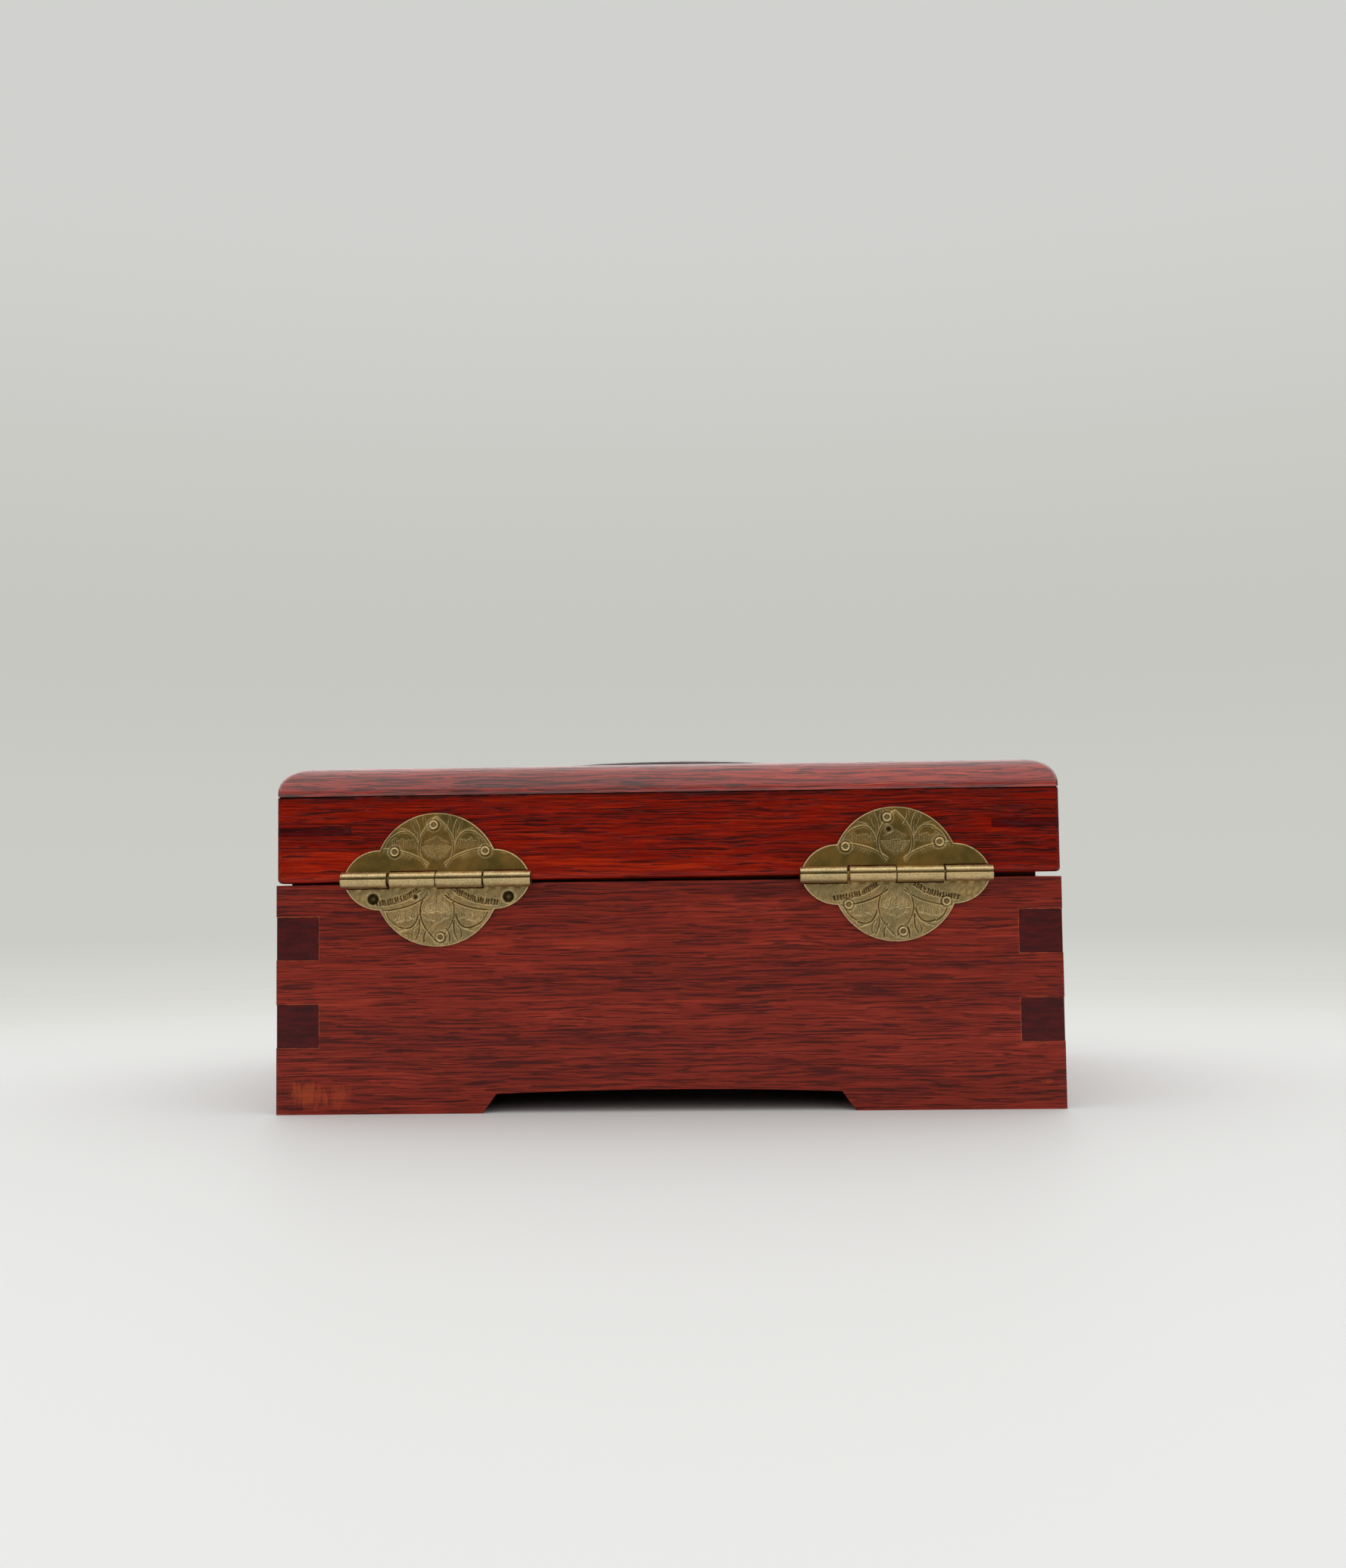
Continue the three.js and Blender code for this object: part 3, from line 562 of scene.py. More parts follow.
def makeTopBoard():
    # a quarter-round edge carried round the board, then in to the disc's recess
    low = seamZ + 0.04
    radius = lid["roundover"]
    rings = [roundedRectangle(halfLength - e, halfDepth - e, lid["corner"], z) for e, z in
             ((0.35, low), (0.1, low + 0.1), (0.0, low + 0.35), (0.0, lidTop - radius))]
    for a in np.linspace(0, np.pi / 2, 13)[1:]:
        inset = radius * (1 - math.cos(a))
        rings.append(roundedRectangle(halfLength - inset, halfDepth - inset, lid["corner"] + 0.35 * inset,
                                      lidTop - radius * (1 - math.sin(a))))
    inset = radius + 0.3
    flat = roundedRectangle(halfLength - inset, halfDepth - inset, lid["corner"] + 0.35 * radius, lidTop)
    rings.append(flat)
    recessHigh = nodeBox("medallion_bezel")[1]
    around = np.arctan2(flat[:, 1] - centreY, flat[:, 0])
    hole = recessHigh[0] + 0.1
    x, y = hole * np.cos(around), centreY + hole * np.sin(around)
    circle = np.stack([x, y, np.full(len(around), lidTop)], -1)
    rings += [circle, circle - [0, 0, 2.0]]
    piece = loft("topBoard", np.stack(rings))
    return smoothByAngle(piece, 30)


def railRing(halfRun, halfOut, level, slot, rebate):
    # one level of a mitred rail in plan: inner edge, then each mitre with its half-rounded outer corner.
    # slot is the pair of key lengths to cut away at the two ends; rebate gives how far in the rail's own
    # rebate wall stands, and the walls of the rails at its two ends
    z, inset, cutAway, hollow = level

    def end(side):
        corner = lid["corner"]
        angle = np.linspace(np.pi / 4, np.pi / 2, lid["cornerArc"])
        arc = np.stack([halfRun - inset - corner + corner * np.cos(angle),
                        halfOut - inset - corner + corner * np.sin(angle)], -1)
        leg = lid["keyLeg"][slot[side]] if cutAway else lid["keyLeg"][1]
        mid = np.array([halfRun - leg / 2, halfOut - leg / 2])
        last = np.array([halfRun - leg, halfOut - inset])
        own, reach = wall, wall
        if hollow:
            own = rebate["own"]
            reach = max(own, rebate[side])
            mid = np.array([halfRun - 0.6 * reach, halfOut - 0.6 * reach])
        inner = [[halfRun - reach - (3 if own == reach else 0), halfOut - own],
                 [halfRun - reach, halfOut - reach]]
        line = np.concatenate([[mid], arc, [last]])
        if cutAway:
            t = np.linspace(0, 1, len(line))[:, None]
            line = mid * (1 - t) + last * t
        return np.concatenate([inner, line]) * [side, 1]
    return atHeight(np.concatenate([end(1), end(-1)[::-1]]), z)


def slope(x, start, width, size):
    # nothing up to the start, then rising over the width to its size
    return size * np.clip((x - start) / width, 0, 1)


def makeRails():
    eased, step = lid["easedRail"], 0.02
    top, ceiling = seamZ - 0.02, rimTop + lid["clear"]
    insets = {name: panel["tongueIn"] - lid["clear"] for name in ("back", "left", "front")}
    insets["right"] = panel["tongueInRight"] - lid["clear"]
    order = ("back", "left", "front", "right")
    for quarter, name in enumerate(order):
        material = lidLong if quarter % 2 == 0 else lidShort
        halfRun, halfOut = (halfLength, halfDepth) if quarter % 2 == 0 else (halfDepth, halfLength)
        # which lid side (+1 right, -1 left) the rail's own two ends lie on
        slot = {0: {1: 1, -1: -1}, 2: {1: -1, -1: 1}, 1: {1: -1, -1: -1}, 3: {1: 1, -1: 1}}[quarter]
        rebate = {"own": insets[name], 1: insets[order[quarter - 1]], -1: insets[order[(quarter + 1) % 4]]}
        levels = [(lidBottom + eased * (1 - math.cos(a)), eased * (1 - math.sin(a)), False, True)
                  for a in np.linspace(0, np.pi / 2, 6)]
        levels += [(ceiling, 0, False, True), (ceiling + step, 0, False, False)]
        for z, cutAway in ((lid["keyLow"], False), (lid["keyHigh"], True)):
            levels += [(z, 0, cutAway, False), (z + step, 0, not cutAway, False)]
        levels += [(top - 0.2, 0, False, False), (top, 0.2, False, False)]
        rings = np.stack([railRing(halfRun, halfOut, level, slot, rebate) for level in levels])
        c, s = round(math.cos(quarter * math.pi / 2)), round(math.sin(quarter * math.pi / 2))
        rings = rings @ np.array([[c, s, 0], [-s, c, 0], [0, 0, 1]]) + [0, centreY, 0]
        # the glue line under the board has opened near one end and, briefly, a little further in
        gape = slope(rings[..., 0], *lid["gape"]) + lid["crack"][2] * bell(rings[..., 0], *lid["crack"][:2])
        rings[..., 2] -= gape * (rings[..., 2] > top - 0.3) * (rings[..., 1] > 0) * (name == "back")
        # the lid has sunk a little towards its right end, most at the very corner
        sink = slope(rings[..., 0], *lid["sink"])
        sink = sink + lid["cornerSink"][2] * bell(rings[..., 0], *lid["cornerSink"][:2])
        rings[..., 2] -= sink * np.clip((ceiling - rings[..., 2]) / 1.5, 0, 1)
        piece = smoothByAngle(loft(f"{name}Rail", rings), 30)
        finish(piece, material, "lid_wood", "lid", f"lid_{name}_rail")
    print("lid rails ready")


def makeKeys():
    # thin three-cornered splines in the slots across the mitres, planed flush
    material = makeRosewood("dark rosewood key", "X", {
        **rosewood["lid"], "pale": "640603", "mid": "560402", "dark": "420302", "pore": "2A0202",
        "end": "560604", "endDark": "3C0403"})
    for sx, xName in ((1, "right"), (-1, "left")):
        for sy, yName in ((1, "back"), (-1, "front")):
            leg, corner = lid["keyLeg"][sx], lid["corner"]
            angle = np.linspace(0, np.pi / 2, 9)
            outer = np.array([halfLength, halfDepth])
            arc = outer - corner + corner * np.stack([np.cos(angle), np.sin(angle)], -1)
            plan = np.concatenate([[outer - [0, leg]], arc, [outer - [leg, 0]]]) + 0.012
            plan = plan * [sx, sy] + [0, centreY]
            if sx * sy < 0:
                plan = plan[::-1]
            rings = np.stack([atHeight(plan, lid["keyLow"] + 0.03), atHeight(plan, lid["keyHigh"] - 0.03)])
            piece = smoothByAngle(loft(f"cornerKey{xName.title()}{yName.title()}", rings), 30)
            finish(piece, material, "key_wood", "lid", f"lid_corner_key_{yName}_{xName}")


finish(makeTopBoard(), boardLong, "lid_wood", "lid", "lid_top_board")
makeRails()
makeKeys()
print("lid ready")

# Pressed and chased sheet brass, lacquer long gone: an olive patina in the hollows and on the flats,
# rubbed pale gold on rims, on the lips of the cuts and on the rolled barrels. Painted highlights
# brighten the lips on one side of each cut and the barrels' tops, a painted reflection of the floor
# brightens the lower hinge leaves, and painted shade darkens rings round the nails, the nails' feet,
# the empty holes and the dimples. Sizes in millimetres.
brass = {"patina": "5E5028", "metal": "8E6E38", "bright": "F4DAA4", "dull": "3A3018", "roughness": 0.34,
         "cloud": 7.0, "pit": 0.34, "scratch": (6, 0.2), "relief": 0.06}
# nails are (x, height over the barrel's middle); crown and shoulder are circles (x, height, radius) that
# make the outline; dimples are (x, height, radius); gaps stand between the four knuckles
hinge = {"nails": {"right": {"upper": ((0.7, 14.2), (10.9, 7.3), (-12.7, 7.3)),
                             "lower": ((16.6, -4.9), (-18.6, -4.6), (-0.9, -14.9))},
                   "left": {"upper": ((2, 14.6), (12.8, 7.2), (-11.3, 8.1)),
                            "lower": ((12.2, -7.7), (-12.8, -7.1), (-1.6, -14.7))}},
         "open": {("right", "lower", 1), ("right", "lower", 2)},
         "dimples": {("right", "lower"): ((5.6, 4.4, 0.5),), ("left", "upper"): ((1.6, 11.5, 0.45),)},
         "crown": (0.0, 1.0, 16.4), "shoulder": (15.0, -1.9, 9.7), "thickness": 0.9, "half": 24.6,
         "barrel": 2.08, "bore": 1.25, "toe": 0.8, "rolled": {"groove": 0.42, "angle": 16, "wide": 11},
         "cell": 0.16, "gaps": (0.7, 0.2, 0.45), "line": 0.18, "depth": {"upper": 0.15, "lower": 0.26}}
lock = {"nails": {"upper": ((0, 15.3), (15.5, 5.2), (-15.5, 5.2)), "lower": ((15.5, -5.2), (-15.5, -5.2))},
        "thickness": 1.0, "clear": 0.12}
nailHead = {"sides": 28, "shank": 0.55, "length": 6.6}


def makeBrass(name, values):
    # colour goes from patina to metal with a slow cloud, then to bright on rubbed places and on painted
    # highlights and reflection, and to dull on patina, dark pits and painted shade; roughness follows the
    # cloud and the dull mask, and pits and scratches give the relief
    material, tree, where = newMaterial(name)
    scratchSize = (values["scratch"][0], 1, values["scratch"][1])
    cloud, pits, scratch = (addNode(tree, "TexNoise",
        addNode(tree, "Mapping", where, None, None, perSize(size)), seed, 1.0, detail, 0.6)
        for size, seed, detail in (([values["cloud"]] * 3, 2.0, 4.0), ([values["pit"]] * 3, 5.0, 2.0),
                                   (scratchSize, 7.0, 2.0)))
    wearAndHighlight = addNode(tree, "Attribute", output="Fac", attribute_name="wearAndHighlight")
    patinaAndShade = addNode(tree, "Attribute", output="Fac", attribute_name="patinaAndShade")
    # the bright mask: rubbed wear, painted highlights on lips and barrel tops, and the painted reflection on
    # the lower hinge leaves, broken by the pits
    rubbed = addNode(tree, "Math", wearAndHighlight, addNode(tree, "MapRange", pits, 0.36, 0.60, 0.45, 1.0),
        operation="MULTIPLY")
    spots = addNode(tree, "Math", addNode(tree, "MapRange", pits, 0.60, 0.74), 0.5, operation="MULTIPLY")
    # the dull mask: dark spots in the pits, patina in the hollows, and painted shade round the nails and in
    # holes
    dirtAndShade = addNode(tree, "Math", spots, patinaAndShade, operation="MAXIMUM")
    colour = tinted(tree, values, "patina", (addNode(tree, "MapRange", cloud, 0.36, 0.66), "metal"),
        (rubbed, "bright"), (dirtAndShade, "dull"))
    plain = addNode(tree, "MapRange", cloud, 0.3, 0.7, values["roughness"] + 0.12,
        values["roughness"] - 0.05)
    rough = addNode(tree, "Math", dirtAndShade, 0.3, plain, operation="MULTIPLY_ADD")
    relief = addNode(tree, "Math", spots, -0.8, addNode(tree, "Math", cloud, 2.0, operation="MULTIPLY"),
        operation="MULTIPLY_ADD")
    relief = addNode(tree, "Math", scratch, 0.25, relief, operation="MULTIPLY_ADD")
    relief = addNode(tree, "Math", addNode(tree, "Math", pits, wearAndHighlight, operation="MULTIPLY"), 0.9, relief,
        operation="MULTIPLY_ADD")
    bump = addNode(tree, "Bump", Height=relief, Distance=values["relief"] * mm, Strength=0.8)
    surface(tree, {"Base Color": colour, "Metallic": 1.0, "Roughness": rough, "Normal": bump})
    return material


brassOld = makeBrass("old chased brass", brass)


def addAttribute(piece, name, values):
    layer = piece.data.attributes.new(name, "FLOAT", "POINT")
    layer.data.foreach_set("value", np.ascontiguousarray(values, np.float32))


def leafTop(x):
    # height of the leaf outline above its straight edge: the crown's circle, or a shoulder's where
    # that is higher
    cx, cy, r = hinge["crown"]
    sx, sy, sr = hinge["shoulder"]
    crown = cy + np.sqrt(np.maximum(r ** 2 - (x - cx) ** 2, 0))
    side = sy + np.sqrt(np.maximum(sr ** 2 - (np.abs(x) - sx) ** 2, 0))
    return np.maximum(np.where(np.abs(x) < r, crown, -9), side).clip(0.02)


def insideLeaf(x, h):
    # how far a point lies inside the outline
    cx, cy, r = hinge["crown"]
    sx, sy, sr = hinge["shoulder"]
    return np.maximum(r - np.hypot(x - cx, h - cy), sr - np.hypot(np.abs(x) - sx, h - sy))


def bow(a, b, c, count=60):
    # a quadratic curve from a to c drawn towards b
    t = np.linspace(0, 1, count)[:, None]
    return np.array(a) * (1 - t) ** 2 + np.array(b) * 2 * t * (1 - t) + np.array(c) * t ** 2


def chasedStrokes(random, level):
    # the flower cut into a leaf, as (line, weight): a pointed bud, fronds, petals with shading cuts,
    # and blades at the rim
    half = [(bow((2.6, 3.4), (7.4, 9.4), (0.2, 16.0)), 1.0),
            (bow((2.3, 4.0), (6.6, 7.6), (14.6, 8.0)), 1.0),
            (bow((5.0, 8.9), (6.2, 13.6), (10.0, 11.9)), 1.0),
            (bow((10.0, 11.9), (12.4, 10.8), (13.0, 8.6)), 0.8),
            (bow((4.6, 10.4), (4.2, 13.6), (5.6, 15.6)), 0.8),
            (bow((5.6, 12.0), (6.8, 13.8), (6.2, 15.3)), 0.6),
            (bow((2.3, 12.9), (3.6, 14.2), (3.3, 16.3)), 0.8),
            (bow((7.4, 12.6), (9.0, 13.2), (10.2, 13.2)), 0.6)]
    for x in np.linspace(5.6, 11.6, 11):
        # shading cuts of the petal
        foot = 8.2 + 0.06 * (x - 5)
        tip = (x + 0.3, foot + 1.3 + 0.8 * random.random())
        half.append((bow((x, foot), (x + 0.5, foot + 0.8), tip, 8), 0.45))
    for x in np.linspace(0.3, 3.1, 6):
        # shading cuts of the bud, in a fan of two rows
        tip = (x * 1.1, 8.0 + 0.7 * random.random())
        half.append((bow((x * 0.62, 5.2 + 0.25 * x), (x * 0.95, 6.4), tip, 8), 0.55))
        half.append((bow((x * 0.85, 9.0), (x * 0.95, 10.0), (x * 0.8, 11.0 - 0.4 * x), 8), 0.35))
    if level == "lower":
        # a feathered band from the barrel out to the shoulder, and the line that carries it
        half.append((bow((4.4, 2.7), (8.4, 6.2), (15.6, 6.6)), 0.9))
        for spine in bow((4.4, 2.7), (8.4, 6.2), (15.6, 6.6), 19)[1:]:
            half.append((bow(spine, spine + (0.25, -0.6), spine + (0.2, -1.2), 8), 1.1))
    else:
        for t in np.linspace(0.35, 0.95, 12):
            p = bow((2.3, 4.0), (6.6, 7.6), (14.6, 8.0), 101)[int(t * 100)]
            half.append((bow(p + (0.1, -0.3), p + (0.5, -0.5), p + (0.8, -1.0), 8), 0.35))
    strokes = []
    for line, weight in half:
        for side in (1, -1):
            strokes.append((line * [side, 1] + random.normal(0, 0.10, 2), weight * random.uniform(0.8, 1.1)))
    return strokes


def chase(x, h, strokes, depth):
    # height, groove and lip masks of the strokes: by distance from each curve, a groove with a lip
    # raised on each side, most on the upper one
    grooves, lips = np.zeros_like(x), np.zeros_like(x)
    width = hinge["line"]
    for line, weight in strokes:
        low, high = line.min(0) - 4 * width, line.max(0) + 4 * width
        near = (x > low[0]) & (x < high[0]) & (h > low[1]) & (h < high[1])
        if near.any():
            px, ph = x[near][:, None], h[near][:, None]
            apart = np.hypot(px - line[:, 0], ph - line[:, 1])
            away, nearest = apart.min(1), apart.argmin(1)
            # one side's lip counts most: in the height, and through leafSheet as a painted highlight
            lit = 0.25 + 0.75 * (h[near] > line[nearest, 1])
            grooves[near] = np.maximum(grooves[near], weight * bell(away, 0, width))
            lip = weight * lit * bell(away, 1.5 * width, 0.75 * width)
            lips[near] = np.maximum(lips[near], lip)
    return depth * (0.7 * lips * (1 - grooves) - grooves), grooves, lips


def leafSheet(spans, random, level, thickness, toe, flatWearAndReflection, marks):
    # the leaf's front as height over (x, h), on a grid whose columns reach from its lower edge to its
    # outline; spans are the stretches of x where the lower edge is held back to clear the other leaf's
    # knuckles, and marks are the nails, the empty holes and the dimples, as (x, h, radius, depth), each
    # ringed with painted shade
    half, cell = hinge["half"], hinge["cell"]
    columns = np.linspace(-half + 0.01, half - 0.01, int(2 * half / cell))
    edges = np.array([e for span in spans for side in span for e in (side - 0.01, side + 0.01)])
    if len(edges):
        columns = np.sort(np.concatenate([columns, edges[(edges > -half) & (edges < half)]]))
    heldBack = np.zeros(len(columns), bool)
    for a, b in spans:
        heldBack |= (columns > a) & (columns < b)
    top = leafTop(columns)
    foot = np.where(heldBack, hinge["barrel"] + 0.3, toe)
    # the outline's two ends lie behind the barrel, so they are left off
    kept = top > foot + 0.02
    columns, top, foot = columns[kept], top[kept], foot[kept]
    t = np.linspace(0, 1, int(17.4 / cell))
    t = t + 0.02 * np.sin(2 * np.pi * t)
    x = np.broadcast_to(columns, (len(t), len(columns)))
    h = foot + (top - foot) * t[:, None]
    inside = insideLeaf(x, h)
    height, grooves, lips = chase(x, h, chasedStrokes(random, level), hinge["depth"][level])
    quiet = np.clip((inside - 0.45) / 0.5, 0, 1)
    rim = np.clip(inside / 0.35, 0, 1)
    # a domed sheet: thin at its rim, with slow dents from the press, rising a little to the barrel
    dents = 0.05 * np.sin(x * 0.55 + 1.3) * np.cos(h * 0.42 + random.uniform(0, 3))
    dents = dents + 0.03 * np.sin(x * 1.3 + h * 0.9)
    if level == "lower":
        dents = dents + 0.11 * np.sin(x * 1.9 + 0.7 * np.sin(h * 0.8)) * np.sin(h * 1.25 + 0.4)
    y = thickness - 0.30 * (1 - np.sqrt(1 - (1 - rim) ** 2)) + (height + dents) * quiet
    # bright: the rubbed rim; the cuts' lips, a painted highlight strongest on one side of each cut; and the
    # flat brightening the caller gives
    wearAndHighlight = 0.75 * bell(inside, 0.12, 0.18) + (0.80 * lips - 0.2 * grooves) * quiet + flatWearAndReflection
    patinaAndShade = 0.48 * grooves * quiet
    # each mark is ringed with painted shade at its rim, and a deep one, an empty hole or a dimple, is painted
    # dark inside as painted shade
    for markX, markH, radius, depth in marks:
        away = np.hypot(x - markX, h - markH)
        y = y - depth * np.clip((radius + 0.12 - away) / 0.24, 0, 1)
        markShade = 0.45 * bell(away, radius + 0.05, 0.16) + 0.9 * (away < radius) * (depth > 0.2)
        patinaAndShade = np.maximum(patinaAndShade, markShade)
        wearAndHighlight = wearAndHighlight + 0.35 * bell(away, radius + 0.55, 0.18)
    return x, h, y, np.clip(patinaAndShade, 0, 1), np.clip(wearAndHighlight, 0, 1)


def leafShell(x, h, y, place, up, outward):
    # closes the front grid with a wall round its rim and one flat back; place is (x, y, z) of the
    # straight edge's middle, up is -1 for a lower leaf, outward is -1 for a plate on the box's front
    rows, columns = x.shape
    front = np.stack([place[0] + x, place[1] + outward * y, place[2] + up * h], -1).reshape(-1, 3)
    index = np.arange(rows * columns).reshape(rows, columns)
    rim = np.concatenate([index[0, :-1], index[:-1, -1], index[-1, :0:-1], index[:0:-1, 0]])
    back = front[rim] * [1, 0, 1] + [0, place[1], 0]
    count, ring = rows * columns, np.arange(len(rim))
    after = (ring + 1) % len(rim)
    walls = np.stack([rim[after], rim[ring], count + ring, count + after], -1).tolist()
    faces = [face[::-1] for face in gridFaces(rows, columns) + walls] + [(count + ring).tolist()]
    if up * outward < 0:
        faces = [face[::-1] for face in faces]
    return np.concatenate([front, back]), faces


def rolledTube(x0, x1, axisY, axisZ, outer, bore, random, groove=True, sides=72):
    # a short tube along X, closed through its bore, with eased ends and the groove where the rolled
    # sheet meets itself: the radius is the outer one, less a soft notch at one angle, plus a slow
    # hammered unevenness
    soft = 0.16
    along = [(0, -1), (0, -soft), (0.3 * soft, -0.3 * soft), (soft, 0)]
    steps = [(x0 + a, b) for a, b in along] + [(x, 0) for x in np.arange(x0 + 0.6, x1 - 0.6, 0.45)]
    steps += [(x1 - a, b) for a, b in along[::-1]]
    angle = np.linspace(0, 2 * np.pi, sides, endpoint=False)
    x = np.array([a for a, b in steps])[:, None]
    ease = np.array([b for a, b in steps])[:, None]
    rolled = hinge["rolled"]
    seam = groove * bell(np.degrees(angle), rolled["angle"], rolled["wide"])
    uneven = 0.035 * np.sin(x * 1.7 + random.uniform(0, 6)) * np.sin(angle * 3 + x * 0.8)
    uneven = uneven + 0.02 * np.sin(x * 4.3 + angle * 7)
    r = np.where(ease <= -1, bore, outer + ease - rolled["groove"] * seam + uneven * (outer > 1.5))
    y, z = axisY + r * np.cos(angle), axisZ + r * np.sin(angle)
    points, faces = closedLoop(np.stack([np.broadcast_to(x, r.shape), y, z], -1))
    # brighter towards the tube's top, a painted highlight over the rubbed wear, and darker in the seam groove
    # with patina
    wearAndHighlight = np.where(np.broadcast_to(ease, r.shape) <= -1, 0.1, 0.76 + 0.24 * np.sin(angle) - 0.8 * seam)
    patinaAndShade = np.broadcast_to(0.75 * seam, r.shape) * (ease > -1)
    return points, faces, wearAndHighlight.ravel(), patinaAndShade.ravel()


def knuckleSpans(centreX):
    # four stretches of the barrel from the +X end, parted by the three gaps
    pitch = hinge["half"] / 2
    ends = [centreX + hinge["half"] - k * pitch for k in range(5)]
    gaps = (0, *hinge["gaps"], 0)
    return [(ends[k + 1] + gaps[k + 1] / 2, ends[k] - gaps[k] / 2) for k in range(4)]


def makeNail(name, place, outward, body, node, empty=False):
    # a hollow-headed nail: a raised ring round a dish, standing in a ring of painted shade on the leaf; an
    # empty one has lost its ring, and its hole is painted dark as painted shade
    if empty:
        profile = [(0.01, -0.40), (0.35, -0.42), (0.60, -0.48), (0.85, -0.56), (1.02, -0.60), (1.10, -0.61),
                   (1.10, -0.70)]
        # the empty hole is painted dark all the way down, a painted shade
        wearAndHighlight, patinaAndShade = [0.3, 0.2, 0.1, 0, 0, 0, 0], [0.6, 0.7, 0.9, 1, 1, 1, 1]
    else:
        profile = [(0.01, 0.34), (0.25, 0.31), (0.48, 0.28), (0.66, 0.40), (0.78, 0.62), (0.92, 0.76),
                   (1.06, 0.74), (1.18, 0.55), (1.25, 0.26), (1.25, 0.01)]
        # the ring's top is rubbed bright; the dish holds patina, and the head's foot is painted darker, a
        # painted shade where it meets the plate
        wearAndHighlight = [0.3, 0.2, 0.2, 0.4, 0.8, 1, 0.9, 0.6, 0.3, 0]
        patinaAndShade = [0.2, 0.30, 0.5, 0.2, 0, 0, 0, 0, 0.3, 0.6]
    shank, length = nailHead["shank"], nailHead["length"]
    profile += [(shank, profile[-1][1] - 0.01), (shank, 0.6 - length), (0.01, -length)]
    sides = nailHead["sides"]
    nail = smoothByAngle(loft(name, turn(profile, sides, place, outward)), 60)
    addAttribute(nail, "wearAndHighlight", np.repeat(np.array(wearAndHighlight + [0, 0, 0.0]), sides))
    addAttribute(nail, "patinaAndShade", np.repeat(np.array(patinaAndShade + [1, 1, 1.0]), sides))
    finish(nail, brassOld, "nail_brass", body, node)


def makeLeaf(name, sheet, place, up, outward, tubes, slot, body, node):
    # the chased sheet with its tubes, and the wear, painted light and painted shade that belong to each point
    x, h, y, patinaAndShade, wearAndHighlight = sheet
    verts, faces = leafShell(x, h, y, place, up, outward)
    extra = len(verts) - wearAndHighlight.size
    piece = smoothByAngle(joined(name, [(verts, faces)] + [tube[:2] for tube in tubes]), 40)
    for layer, front, rest, column in (("wearAndHighlight", wearAndHighlight, 0.2, 2), ("patinaAndShade", patinaAndShade, 0.5, 3)):
        parts = [front.ravel(), np.full(extra, rest)] + [tube[column] for tube in tubes]
        addAttribute(piece, layer, np.concatenate(parts))
    finish(piece, brassOld, slot, body, node)


def makeHinges():
    face = backFace + 0.02
    for side in ("right", "left"):
        low, high = nodeBox(f"hinge_pin_{side}")
        centreX, axisY, axisZ = (low + high) / 2
        spans = knuckleSpans(centreX)
        for level, up, own in (("upper", 1, (0, 2)), ("lower", -1, (1, 3))):
            random = np.random.default_rng({"upper": 21, "lower": 22}[level] + (side == "left") * 10)
            body = "lid" if up > 0 else "case"
            held = [(spans[k][0] - centreX - 0.25, spans[k][1] - centreX + 0.25)
                    for k in range(4) if k not in own]
            marks = [(a, abs(b), 1.28, 0.62 if (side, level, n + 1) in hinge["open"] else 0.0)
                     for n, (a, b) in enumerate(hinge["nails"][side][level])]
            marks += [(*dimple, 0.3) for dimple in hinge["dimples"].get((side, level), ())]
            # the lower leaves are painted brighter all over, a painted reflection of the pale floor below
            # them
            flatWearAndReflection = 0.0 if up > 0 else 0.26
            sheet = leafSheet(held, random, level, hinge["thickness"], hinge["toe"], flatWearAndReflection, marks)
            tubes = [rolledTube(*spans[k], axisY, axisZ, hinge["barrel"], hinge["bore"], random)
                     for k in own]
            makeLeaf(f"hingeLeaf{level.title()}{side.title()}", sheet, (centreX, face, axisZ), up, 1, tubes,
                     "hinge_brass", body, f"hinge_leaf_{level}_{side}")
            for n, (across, rise) in enumerate(hinge["nails"][side][level]):
                makeNail(f"hingeNail{level.title()}{side.title()}{n + 1}",
                         (centreX + across, face + hinge["thickness"], axisZ + rise), "back", body,
                         f"hinge_nail_{level}_{side}_{n + 1}", (side, level, n + 1) in hinge["open"])
        end = hinge["half"]
        half = [(1.15, end - 0.2), (0.7, end), (0.02, end + 0.05)]
        rings = turn([(r, -x) for r, x in half[::-1]] + half, 24, (centreX, axisY, axisZ), "x")
        pin = smoothByAngle(loft(f"hingePin{side.title()}", rings), 40)
        finish(pin, brassOld, "hinge_brass", "case", f"hinge_pin_{side}")
    print("hinges ready")


makeHinges()

# slot is (half width, low, high)
hasp = {"thickness": 1.4, "half": 3.0, "ear": 2.8, "radius": 1.7, "bore": 0.9,
        "slot": (1.9, 48.0, 58.4), "tip": 44.4, "pin": 0.8, "head": 1.3}
staple = {"z": 53.5, "half": 3.2, "wire": 1.05, "in": 6.0}


def haspHalf():
    # right half of the tongue's outline in (x, z): straight neck, shoulder, bulge, then the rounded point
    top = axisFront[2]
    shoulder = top - 5
    w = hasp["half"]
    t = np.linspace(0, 1, 20)[:, None]
    a, b = np.array((w + 2.2, shoulder - 9)), np.array((w + 5.4, shoulder - 14))
    c, d = np.array((w + 2.6, hasp["tip"] + 1.6)), np.array((0, hasp["tip"]))
    point = a * (1 - t) ** 3 + b * 3 * t * (1 - t) ** 2 + c * 3 * t ** 2 * (1 - t) + d * t ** 3
    neck = np.linspace((w, top), (w, shoulder + 2), 8)
    flare = bow((w, shoulder + 2), (w + 0.3, shoulder), (w + 2.2, shoulder - 1.6), 10)
    bulge = bow((w + 2.2, shoulder - 1.6), (w + 4.6, shoulder - 5), (w + 2.2, shoulder - 9), 14)
    return np.concatenate([neck, flare[1:], bulge[1:], point[1:]])


